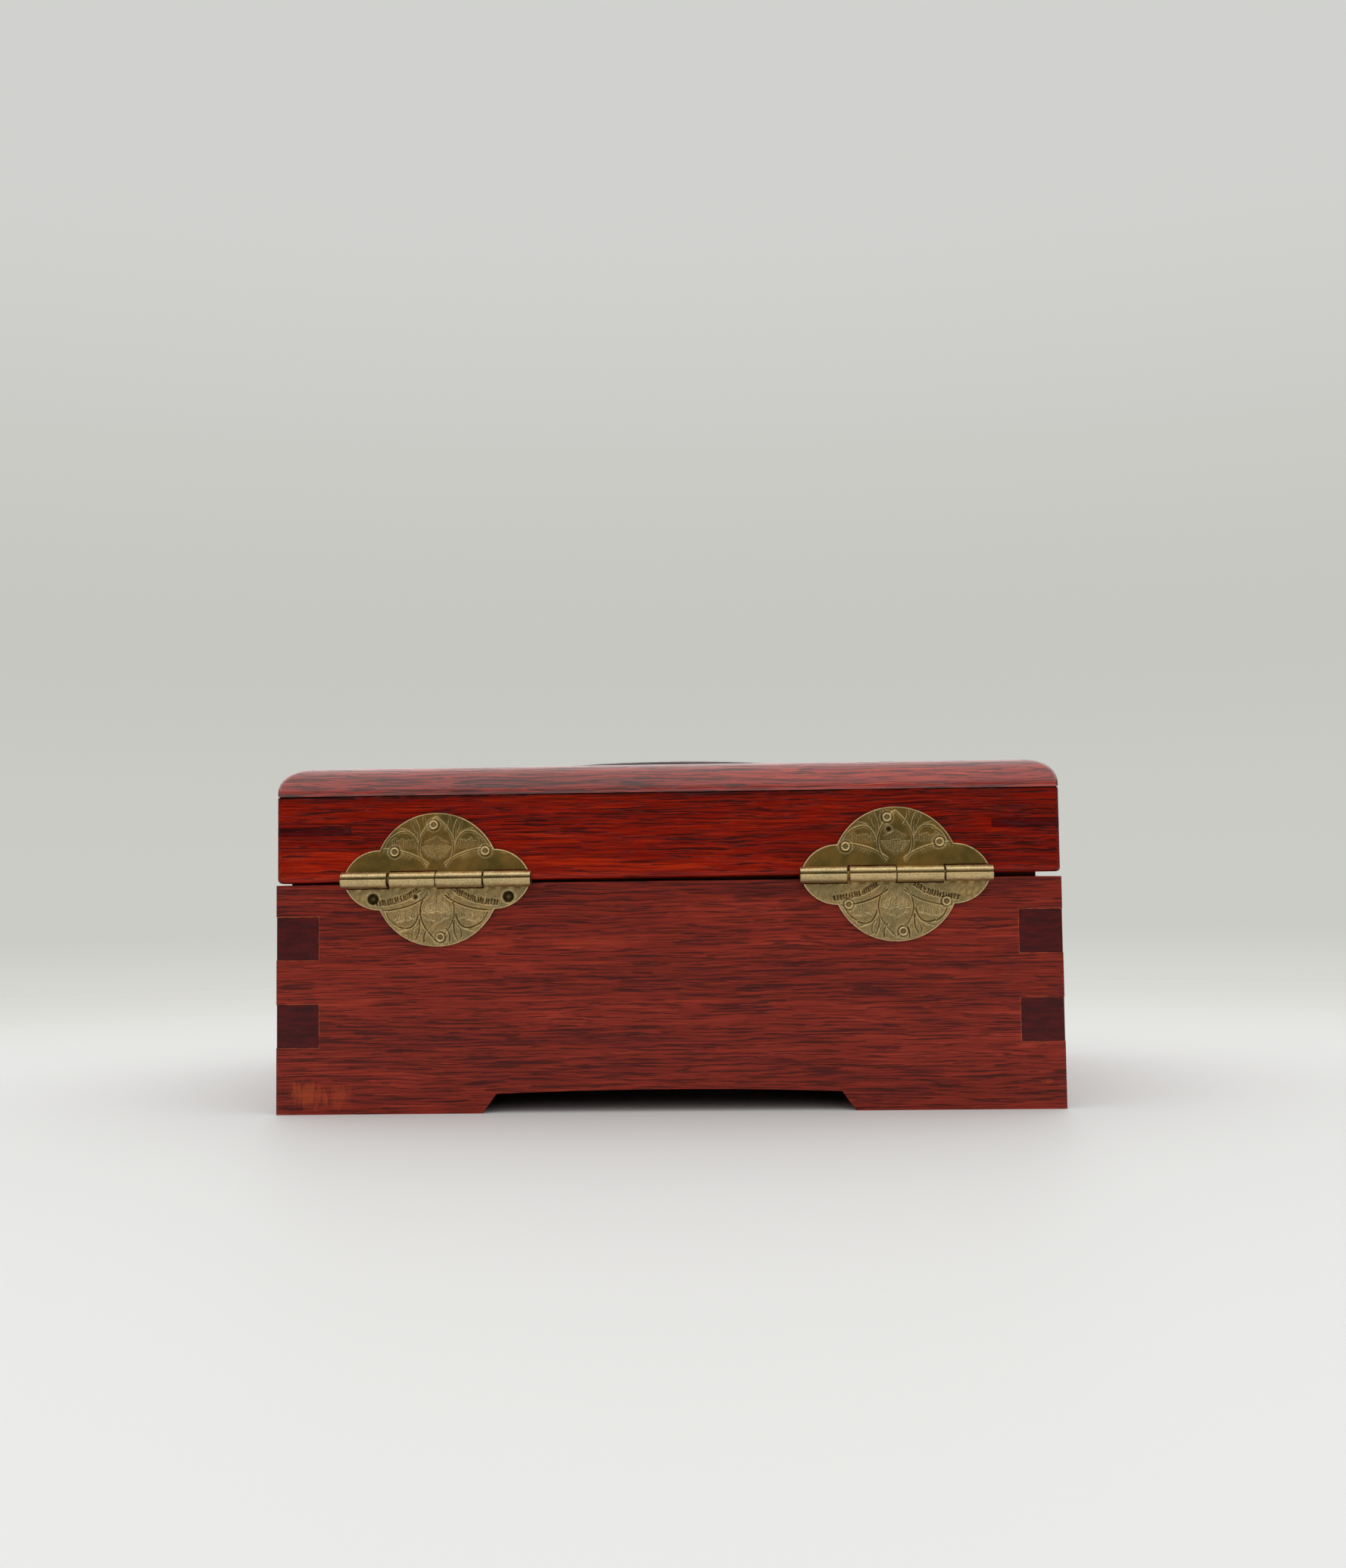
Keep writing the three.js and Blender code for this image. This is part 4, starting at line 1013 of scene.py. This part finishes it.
def haspPlate():
    # a ring of profiles between the slot and the outline: s runs from the slot's edge to the outer edge
    # in front, and back again behind; the front is crowned and has an incised line inside each edge
    half = haspHalf()
    outline = np.concatenate([half, half[-2::-1] * [-1, 1]])
    wide, low, high = hasp["slot"]
    middle = np.array([0, (low + high) / 2])
    turnBy = np.arctan2(outline[:, 1] - middle[1], outline[:, 0])
    ray = np.stack([np.cos(turnBy), np.sin(turnBy)], -1)
    reach = 1 / ((np.abs(ray[:, 0]) / wide) ** 8 + (np.abs(ray[:, 1]) / ((high - low) / 2)) ** 8) ** (1 / 8)
    slotEdge = middle + ray * reach[:, None]
    s = np.concatenate([[0, 0.02, 0.05], np.linspace(0.08, 0.92, 40), [0.95, 0.98, 1]])
    flat = slotEdge + (outline - slotEdge) * s[:, None, None]
    run = np.hypot(*(outline - slotEdge).T)
    inner, outer = s[:, None] * run, (1 - s)[:, None] * run
    edge = np.minimum(inner, outer)
    out = hasp["thickness"] / 2 - 0.3 * (1 - np.sqrt(1 - (1 - np.clip(edge / 0.4, 0, 1)) ** 2))
    line = bell(edge, 1.0, 0.18) * (run > 2.6)
    out = out - 0.16 * line
    behind = np.full(out.shape, -hasp["thickness"] / 2)
    x, z = (np.concatenate([flat[..., k], flat[::-1, :, k]]) for k in (0, 1))
    points, faces = closedLoop(np.stack([x, axisFront[1] - np.concatenate([out, behind]), z], -1))
    wearAndHighlight = np.concatenate([0.25 + 0.7 * bell(edge, 0.1, 0.2), np.full(out.shape, 0.2)])
    patinaAndShade = np.concatenate([0.5 * line, np.zeros(out.shape)])
    return points, [face[::-1] for face in faces], wearAndHighlight.ravel(), patinaAndShade.ravel()


def wireLoop():
    # the staple's wire: a circle carried along one leg, round a half circle and back along the other,
    # all in x = 0
    radius, out = staple["wire"], nodeBox("lock_staple")[0][1]
    bendY = out + staple["half"] + radius
    inside = frontFace + staple["in"]
    a = np.linspace(-np.pi / 2, np.pi / 2, 25)
    leg = np.linspace(inside, bendY, 10)[:-1]
    path = np.concatenate([np.stack([leg, np.full(9, -staple["half"])], -1),
                           np.stack([bendY - staple["half"] * np.cos(a), staple["half"] * np.sin(a)], -1),
                           np.stack([leg[::-1], np.full(9, staple["half"])], -1)])
    along = np.gradient(path, axis=0)
    along /= np.hypot(*along.T)[:, None]
    angle = np.linspace(0, 2 * np.pi, 24, endpoint=False)
    side = np.stack([along[:, 1], -along[:, 0]], -1)
    points = np.stack([np.broadcast_to(radius * np.cos(angle), (len(path), 24)),
                       path[:, :1] + radius * np.sin(angle) * side[:, :1],
                       staple["z"] + path[:, 1:] + radius * np.sin(angle) * side[:, 1:]], -1)
    return points


def makeLock():
    face = frontFace - lock["clear"] + 0.02
    for level, up, body, edge in (("upper", 1, "lid", lidBottom), ("lower", -1, "case", caseTop)):
        random = np.random.default_rng(40 + up)
        marks = [(a, abs(b), 1.28, 0.0) for a, b in lock["nails"][level]]
        sheet = leafSheet((), random, level, lock["thickness"] - 0.05, 0.0, 0.12, marks)
        tubes = []
        if up > 0:
            for side in (-1, 1):
                x0, x1 = sorted((side * (hasp["half"] + 0.3), side * (hasp["half"] + 0.3 + hasp["ear"])))
                tubes.append(rolledTube(x0, x1, *axisFront[1:], hasp["radius"], hasp["bore"], random, False))
        makeLeaf(f"lockPlate{level.title()}", sheet, (0, face, edge), up, -1, tubes, "lock_brass", body,
                 f"lock_plate_{level}")
        for n, (across, rise) in enumerate(lock["nails"][level]):
            place = (across, face - lock["thickness"], edge + rise)
            makeNail(f"lockNail{level.title()}{n + 1}", place, "front", body, f"lock_nail_{level}_{n + 1}")
    random = np.random.default_rng(50)
    half = hasp["half"]
    knuckle = rolledTube(-half, half, *axisFront[1:], hasp["radius"], hasp["bore"], random, False)
    parts = [haspPlate(), knuckle]
    piece = smoothByAngle(joined("haspTongue", [part[:2] for part in parts]), 40)
    addAttribute(piece, "wearAndHighlight", np.concatenate([part[2] for part in parts]))
    addAttribute(piece, "patinaAndShade", np.concatenate([part[3] for part in parts]))
    finish(piece, brassOld, "lock_brass", "hasp", "hasp")
    end = hasp["half"] + 0.3 + hasp["ear"] + 0.12
    half = [(hasp["pin"], end), (hasp["head"], end + 0.02), (hasp["head"], end + 0.5), (0.9, end + 0.8),
            (0.02, end + 0.9)]
    profile = [(r, -x) for r, x in half[::-1]] + half
    pin = smoothByAngle(loft("haspPin", turn(profile, 24, axisFront, "x")), 40)
    addAttribute(pin, "wearAndHighlight", np.full(len(pin.data.vertices), 0.5))
    finish(pin, brassOld, "lock_brass", "lid", "hasp_pin")
    wire = smoothByAngle(loft("lockStaple", wireLoop()), 40)
    addAttribute(wire, "wearAndHighlight", np.full(len(wire.data.vertices), 0.6))
    finish(wire, brassOld, "lock_brass", "case", "lock_staple")
    print("lock ready")


pinLow, pinHigh = nodeBox("hasp_pin")
axisFront = (pinLow + pinHigh) / 2
makeLock()

# Turned dark rosewood ring, and a disc of pale green bowenite: waxy, faintly clouded, carved with a flower.
# the stone's hollow colour is painted shade for the carving's low parts
medallion = {"around": 288, "petals": (7, 12), "relief": 0.72, "cloud": 16,
             "stone": {"pale": "C3D2B4", "deep": "93AC8A", "white": "E2E8D2", "hollow": "6F8663"}}


def makeBezel():
    low, high = nodeBox("medallion_bezel")
    outer = high[0]
    inner = nodeBox("medallion_stone")[1][0] + 0.3
    bottom, top = low[2], high[2]
    profile = [(inner, bottom), (outer, bottom), (outer, top - 1.25)]
    for a in np.linspace(0.2, 1.45, 7):
        profile.append((outer - 0.9 + 0.9 * math.cos(a), top - 1.25 + 0.95 * math.sin(a)))
    profile += [(outer - 1.25, top - 0.42), (outer - 1.5, top - 0.50), (outer - 1.75, top - 0.34)]
    middle = (outer + inner) / 2 - 0.3
    for a in np.linspace(0.3, math.pi - 0.3, 13):
        profile.append((middle + 1.9 * math.cos(a), top - 0.62 + 0.62 * math.sin(a)))
    profile += [(inner + 1.2, top - 0.5), (inner + 0.9, top - 0.58), (inner + 0.6, top - 0.42),
                (inner + 0.2, top - 0.5), (inner, top - 0.85)]
    rings = turn(profile, medallion["around"], (0, centreY, 0))
    piece = smoothByAngle(makeObject("medallionBezel", *closedLoop(rings)), 32)
    material = makeRosewood("polished dark rosewood ring", "X", {
        **rosewood["board"], "pale": "4A1710", "mid": "35100B", "dark": "240A08", "pore": "120404",
        "end": "3A120D", "endDark": "220A08", "coat": 0.8})
    finish(piece, material, "bezel_wood", "lid", "medallion_bezel")


def petals(r, angle, count, inner, outer, shift):
    # one ring of petals: each rises from its edge to a rounded back with a vein down its middle
    phase = (angle * count / (2 * np.pi) + shift) % 1 - 0.5
    t = np.clip((r - inner) / (outer - inner), 0, 1)
    wide = 0.47 * np.sqrt(np.clip(1 - ((t - 0.52) / 0.52) ** 2, 0, 1))
    across = np.clip(np.abs(phase) / np.maximum(wide, 1e-3), 0, 1)
    body = np.sqrt(1 - across ** 2) * (wide > 0.02)
    veins = 0.22 * np.cos(np.abs(phase) * 60 - t * 9) * body + 0.35 * bell(phase, 0, 0.03)
    rise = body * (0.55 + 0.45 * np.sin(np.pi * t)) - veins * 0.35
    return rise * (r > inner) * (r < outer)


def makeStone():
    low, high = nodeBox("medallion_stone")
    outer, bottom, top = high[0], low[2], high[2]
    angle = np.linspace(0, 2 * np.pi, 360, endpoint=False)
    soft = 1.1
    edge = [outer - soft + soft * math.cos(a) for a in np.linspace(0, np.pi / 2, 6)]
    r = np.concatenate([edge, np.linspace(outer - 1.3, 0.15, 190)])
    inner, middle = medallion["petals"]
    R, A = np.meshgrid(r, angle, indexing="ij")
    fall = soft - np.sqrt(np.maximum(soft ** 2 - (R - outer + soft) ** 2, 0))
    z = top - 0.75 - np.where(R > outer - soft, fall, 0)
    flower = np.maximum(petals(R, A, middle, 15.5, 28.5, 0.5) * 0.75, petals(R, A, inner, 4.5, 19.5, 0.0))
    heart = 0.9 * np.sqrt(np.clip(1 - (R / 5.0) ** 2, 0, 1)) * (0.86 + 0.14 * np.cos(A * 8) * (R > 1.5))
    flower = np.maximum(flower, heart)
    border = bell(R, 30.6, 0.55) * (0.7 + 0.3 * np.cos(A * 72))
    z = z + medallion["relief"] * np.maximum(flower, 0.8 * border)
    rings = np.stack([R * np.cos(A), centreY + R * np.sin(A), z], -1)
    base = np.stack([outer * np.cos(angle), centreY + outer * np.sin(angle), np.full(360, bottom)], -1)
    verts, faces = loftMesh(np.concatenate([base[None], rings]))
    piece = smoothByAngle(makeObject("medallionStone", verts, faces), 50)
    material, tree, where = newMaterial("carved pale green bowenite")
    cloud = addNode(tree, "TexNoise",
        addNode(tree, "Mapping", where, None, None, perSize([medallion["cloud"]] * 3)), 1.0, 1.0, 5.0, 0.62)
    vein = addNode(tree, "TexNoise", addNode(tree, "Mapping", where, None, None, perSize((30, 7, 30))), 6.0,
        1.0, 4.0, 0.6)
    height = addNode(tree, "SeparateXYZ", where, output="Z")
    # the carving's low parts are painted darker: painted shade in the hollows
    hollow = addNode(tree, "MapRange", height, (top - 0.45) * mm, (top - 0.8) * mm, 0.0, 0.45)
    colour = tinted(tree, medallion["stone"], "pale", (addNode(tree, "MapRange", cloud, 0.40, 0.66), "deep"),
        (addNode(tree, "MapRange", vein, 0.58, 0.74), "white"), (hollow, "hollow"))
    surface(tree, {"Base Color": colour, "Roughness": 0.22, "IOR": 1.56, "Subsurface Weight": 0.25,
                   "Subsurface Radius": (0.003, 0.0035, 0.002)})
    finish(piece, material, "stone", "lid", "medallion_stone")


makeBezel()
makeStone()
print("medallion ready")

# Brocade: a satin ground with a raised all-over pattern of plain lozenges. Sizes in millimetres.
cloth = {"ground": "74100F", "raised": "8A1A14", "shade": "480807", "thread": 0.35, "lozenge": 6.5,
         "sheen": 0.15, "relief": 0.09}
pads = {"cell": 2.5, "pressure": 4.0, "cap": 2.2, "frames": 20, "pitch": 32.0, "seam": 1.1,
        "stitchDepth": 1.1, "crown": 1.6}


def makeCloth():
    material, tree, where = newMaterial("woven silk brocade")
    parts = addNode(tree, "SeparateXYZ", where, output=None).outputs
    # on upright boards the height takes the place of one direction, so the pattern never smears into stripes
    u = addNode(tree, "Math", parts["X"], parts["Z"], operation="ADD")
    v = addNode(tree, "Math", parts["Y"], parts["Z"], operation="SUBTRACT")
    wave = {}
    for name, value, size in (("warp", u, cloth["thread"]), ("weft", v, cloth["thread"]),
                              ("one", addNode(tree, "Math", u, v, operation="ADD"), cloth["lozenge"]),
                              ("two", addNode(tree, "Math", u, v, operation="SUBTRACT"), cloth["lozenge"])):
        wave[name] = addNode(tree, "Math",
            addNode(tree, "Math", value, 2 * math.pi / (size * mm), operation="MULTIPLY"), operation="SINE")
    lozenge = addNode(tree, "Math", wave["one"], wave["two"], operation="MULTIPLY")
    raised = addNode(tree, "MapRange", lozenge, 0.15, 0.30)
    outline = addNode(tree, "MapRange", addNode(tree, "Math", lozenge, operation="ABSOLUTE"), 0.14, 0.02)
    weave = addNode(tree, "Math", wave["warp"], wave["weft"], operation="MULTIPLY")
    uneven = addNode(tree, "TexNoise", addNode(tree, "Mapping", where, None, None, perSize((18, 18, 18))),
        3.0, 1.0, 3.0, 0.6)
    colour = tinted(tree, cloth, "ground", (raised, "raised"),
        (addNode(tree, "Math", outline, 0.6, operation="MULTIPLY"), "shade"),
        (addNode(tree, "MapRange", weave, -0.2, -0.9, 0.0, 0.35), "shade"),
        (addNode(tree, "MapRange", uneven, 0.5, 0.8, 0.0, 0.3), "shade"))
    relief = addNode(tree, "Math", weave, 0.35, raised, operation="MULTIPLY_ADD")
    surface(tree, {"Base Color": colour,
                   "Roughness": addNode(tree, "MapRange", raised, 0.0, 1.0, 0.62, 0.42),
                   "Sheen Weight": cloth["sheen"], "Sheen Roughness": 0.4,
                   "Normal": addNode(tree, "Bump", Height=relief, Distance=cloth["relief"] * mm,
                                     Strength=0.7)})
    return material


brocade = makeCloth()


def softBlock(low, high, soft, cell):
    # a block with rounded edges: a cube's surface grid is pulled onto the block shrunk by soft, then
    # pushed out from it by soft along the direction to each point
    low, high = np.asarray(low, float), np.asarray(high, float)
    middle, half = (low + high) / 2, (high - low) / 2
    counts = np.maximum(2, np.ceil(2 * half / cell).astype(int))
    verts, faces, total = [], [], 0
    for axis in range(3):
        a, b = (axis + 1) % 3, (axis + 2) % 3
        for side in (-1, 1):
            steps = [np.linspace(-1, 1, counts[k] + 1) for k in (a, b)]
            u, v = np.meshgrid(*steps, indexing="ij")
            grid = np.empty((*u.shape, 3))
            grid[..., axis], grid[..., a], grid[..., b] = side, u, v
            quads = gridFaces(*u.shape, start=total)
            faces += quads if side > 0 else [q[::-1] for q in quads]
            verts.append(grid.reshape(-1, 3))
            total += u.size
    cube = np.concatenate(verts)
    onBlock = cube * half
    core = np.clip(onBlock, -(half - soft), half - soft)
    away = onBlock - core
    points = core + soft * away / np.maximum(np.linalg.norm(away, axis=1), 1e-9)[:, None]
    # the six sides share their edge points, so those are merged
    key = np.round(points * 1000).astype(int)
    _, first, inverse = np.unique(key, axis=0, return_index=True, return_inverse=True)
    inverse = inverse.ravel()
    faces = [list(dict.fromkeys(inverse[list(q)].tolist())) for q in faces]
    return points[first] + middle, [q for q in faces if len(q) > 2]


def makeLinings():
    for name in ("front", "back", "left", "right"):
        low, high = nodeBox(f"case_lining_{name}")
        piece = smoothByAngle(makeObject(f"{name}Lining", *softBlock(low, high, 0.9, 1.6)), 60)
        finish(piece, brocade, "lining_cloth", "case", f"case_lining_{name}")


def padCloth(name, node, up, body):
    # a filled cover: a thin soft block blown up by cloth under pressure, held within cap of where it
    # began, then drawn down along crossing lines of stitching; up is the side that shows
    low, high = nodeBox(node)
    shrink = np.array([0.8, 0.8, 0.3])
    points, faces = softBlock(low + shrink, high - shrink, 0.9, pads["cell"])
    piece = makeObject(name, points, faces)
    start = np.array(points)
    inflate = piece.modifiers.new("filling", "CLOTH")
    inflate.settings.use_pressure = True
    inflate.settings.uniform_pressure_force = pads["pressure"]
    inflate.settings.effector_weights.gravity = 0
    for frameNow in range(1, pads["frames"] + 1):
        bpy.context.scene.frame_set(frameNow)
    shaped = piece.evaluated_get(bpy.context.evaluated_depsgraph_get()).to_mesh()
    co = np.empty(len(shaped.vertices) * 3)
    shaped.vertices.foreach_get("co", co)
    moved = co.reshape(-1, 3) / mm - start
    piece.modifiers.remove(inflate)
    bpy.context.scene.frame_set(1)
    far = np.linalg.norm(moved, axis=1)[:, None]
    start = start + moved * np.minimum(1, pads["cap"] / np.maximum(far, 1e-6))
    middle, half = (low + high) / 2, (high - low) / 2
    u, v = ((start - middle) / half)[:, :2].T
    shown = (start[:, 2] - middle[2]) * up > 0
    crown = pads["crown"] * (1 - np.abs(u) ** 6) * (1 - np.abs(v) ** 6)
    across = np.stack([start[:, 0] + start[:, 1], start[:, 0] - start[:, 1]])
    across /= pads["pitch"] * math.sqrt(0.5)
    nearest = np.abs(across - np.round(across)) * pads["pitch"] / 2
    stitched = bell(nearest, 0, pads["seam"]).max(0) * (1 - np.abs(u) ** 14) * (1 - np.abs(v) ** 10)
    # the cover stays on its own side of the board behind it, and inside the lining
    start[:, 0] = np.clip(start[:, 0], low[0] + 0.05, high[0] - 0.05)
    start[:, 1] = np.clip(start[:, 1], low[1] + 0.05, high[1] - 0.05)
    height = (start[:, 2] - middle[2]) * up
    quilted = np.clip(height, 0, half[2] + 0.6) + crown - pads["stitchDepth"] * stitched
    height = np.where(shown, quilted, np.maximum(height, 0.05 - half[2]))
    start[:, 2] = middle[2] + up * height
    piece.data.vertices.foreach_set("co", (start * mm).ravel())
    piece.data.update()
    fine = piece.modifiers.new("finer cover", "SUBSURF")
    fine.levels = fine.render_levels = 1
    finish(piece, brocade, "lining_cloth", body, node)


def makeBottom():
    material = makeRosewood("plain sawn board", "X", {
        **rosewood["case"], "pale": "5E2A1C", "mid": "4A2016", "dark": "3A1810", "pore": "220E0A",
        "coat": 0.0, "roughness": 0.7})
    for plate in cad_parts["case_bottom_panel"].material_slots:
        plate.material = material


makeLinings()
makeBottom()
padCloth("basePad", "case_base_pad", 1, "case")
padCloth("lidPad", "lid_lining_panel", -1, "lid")
print("inside ready")
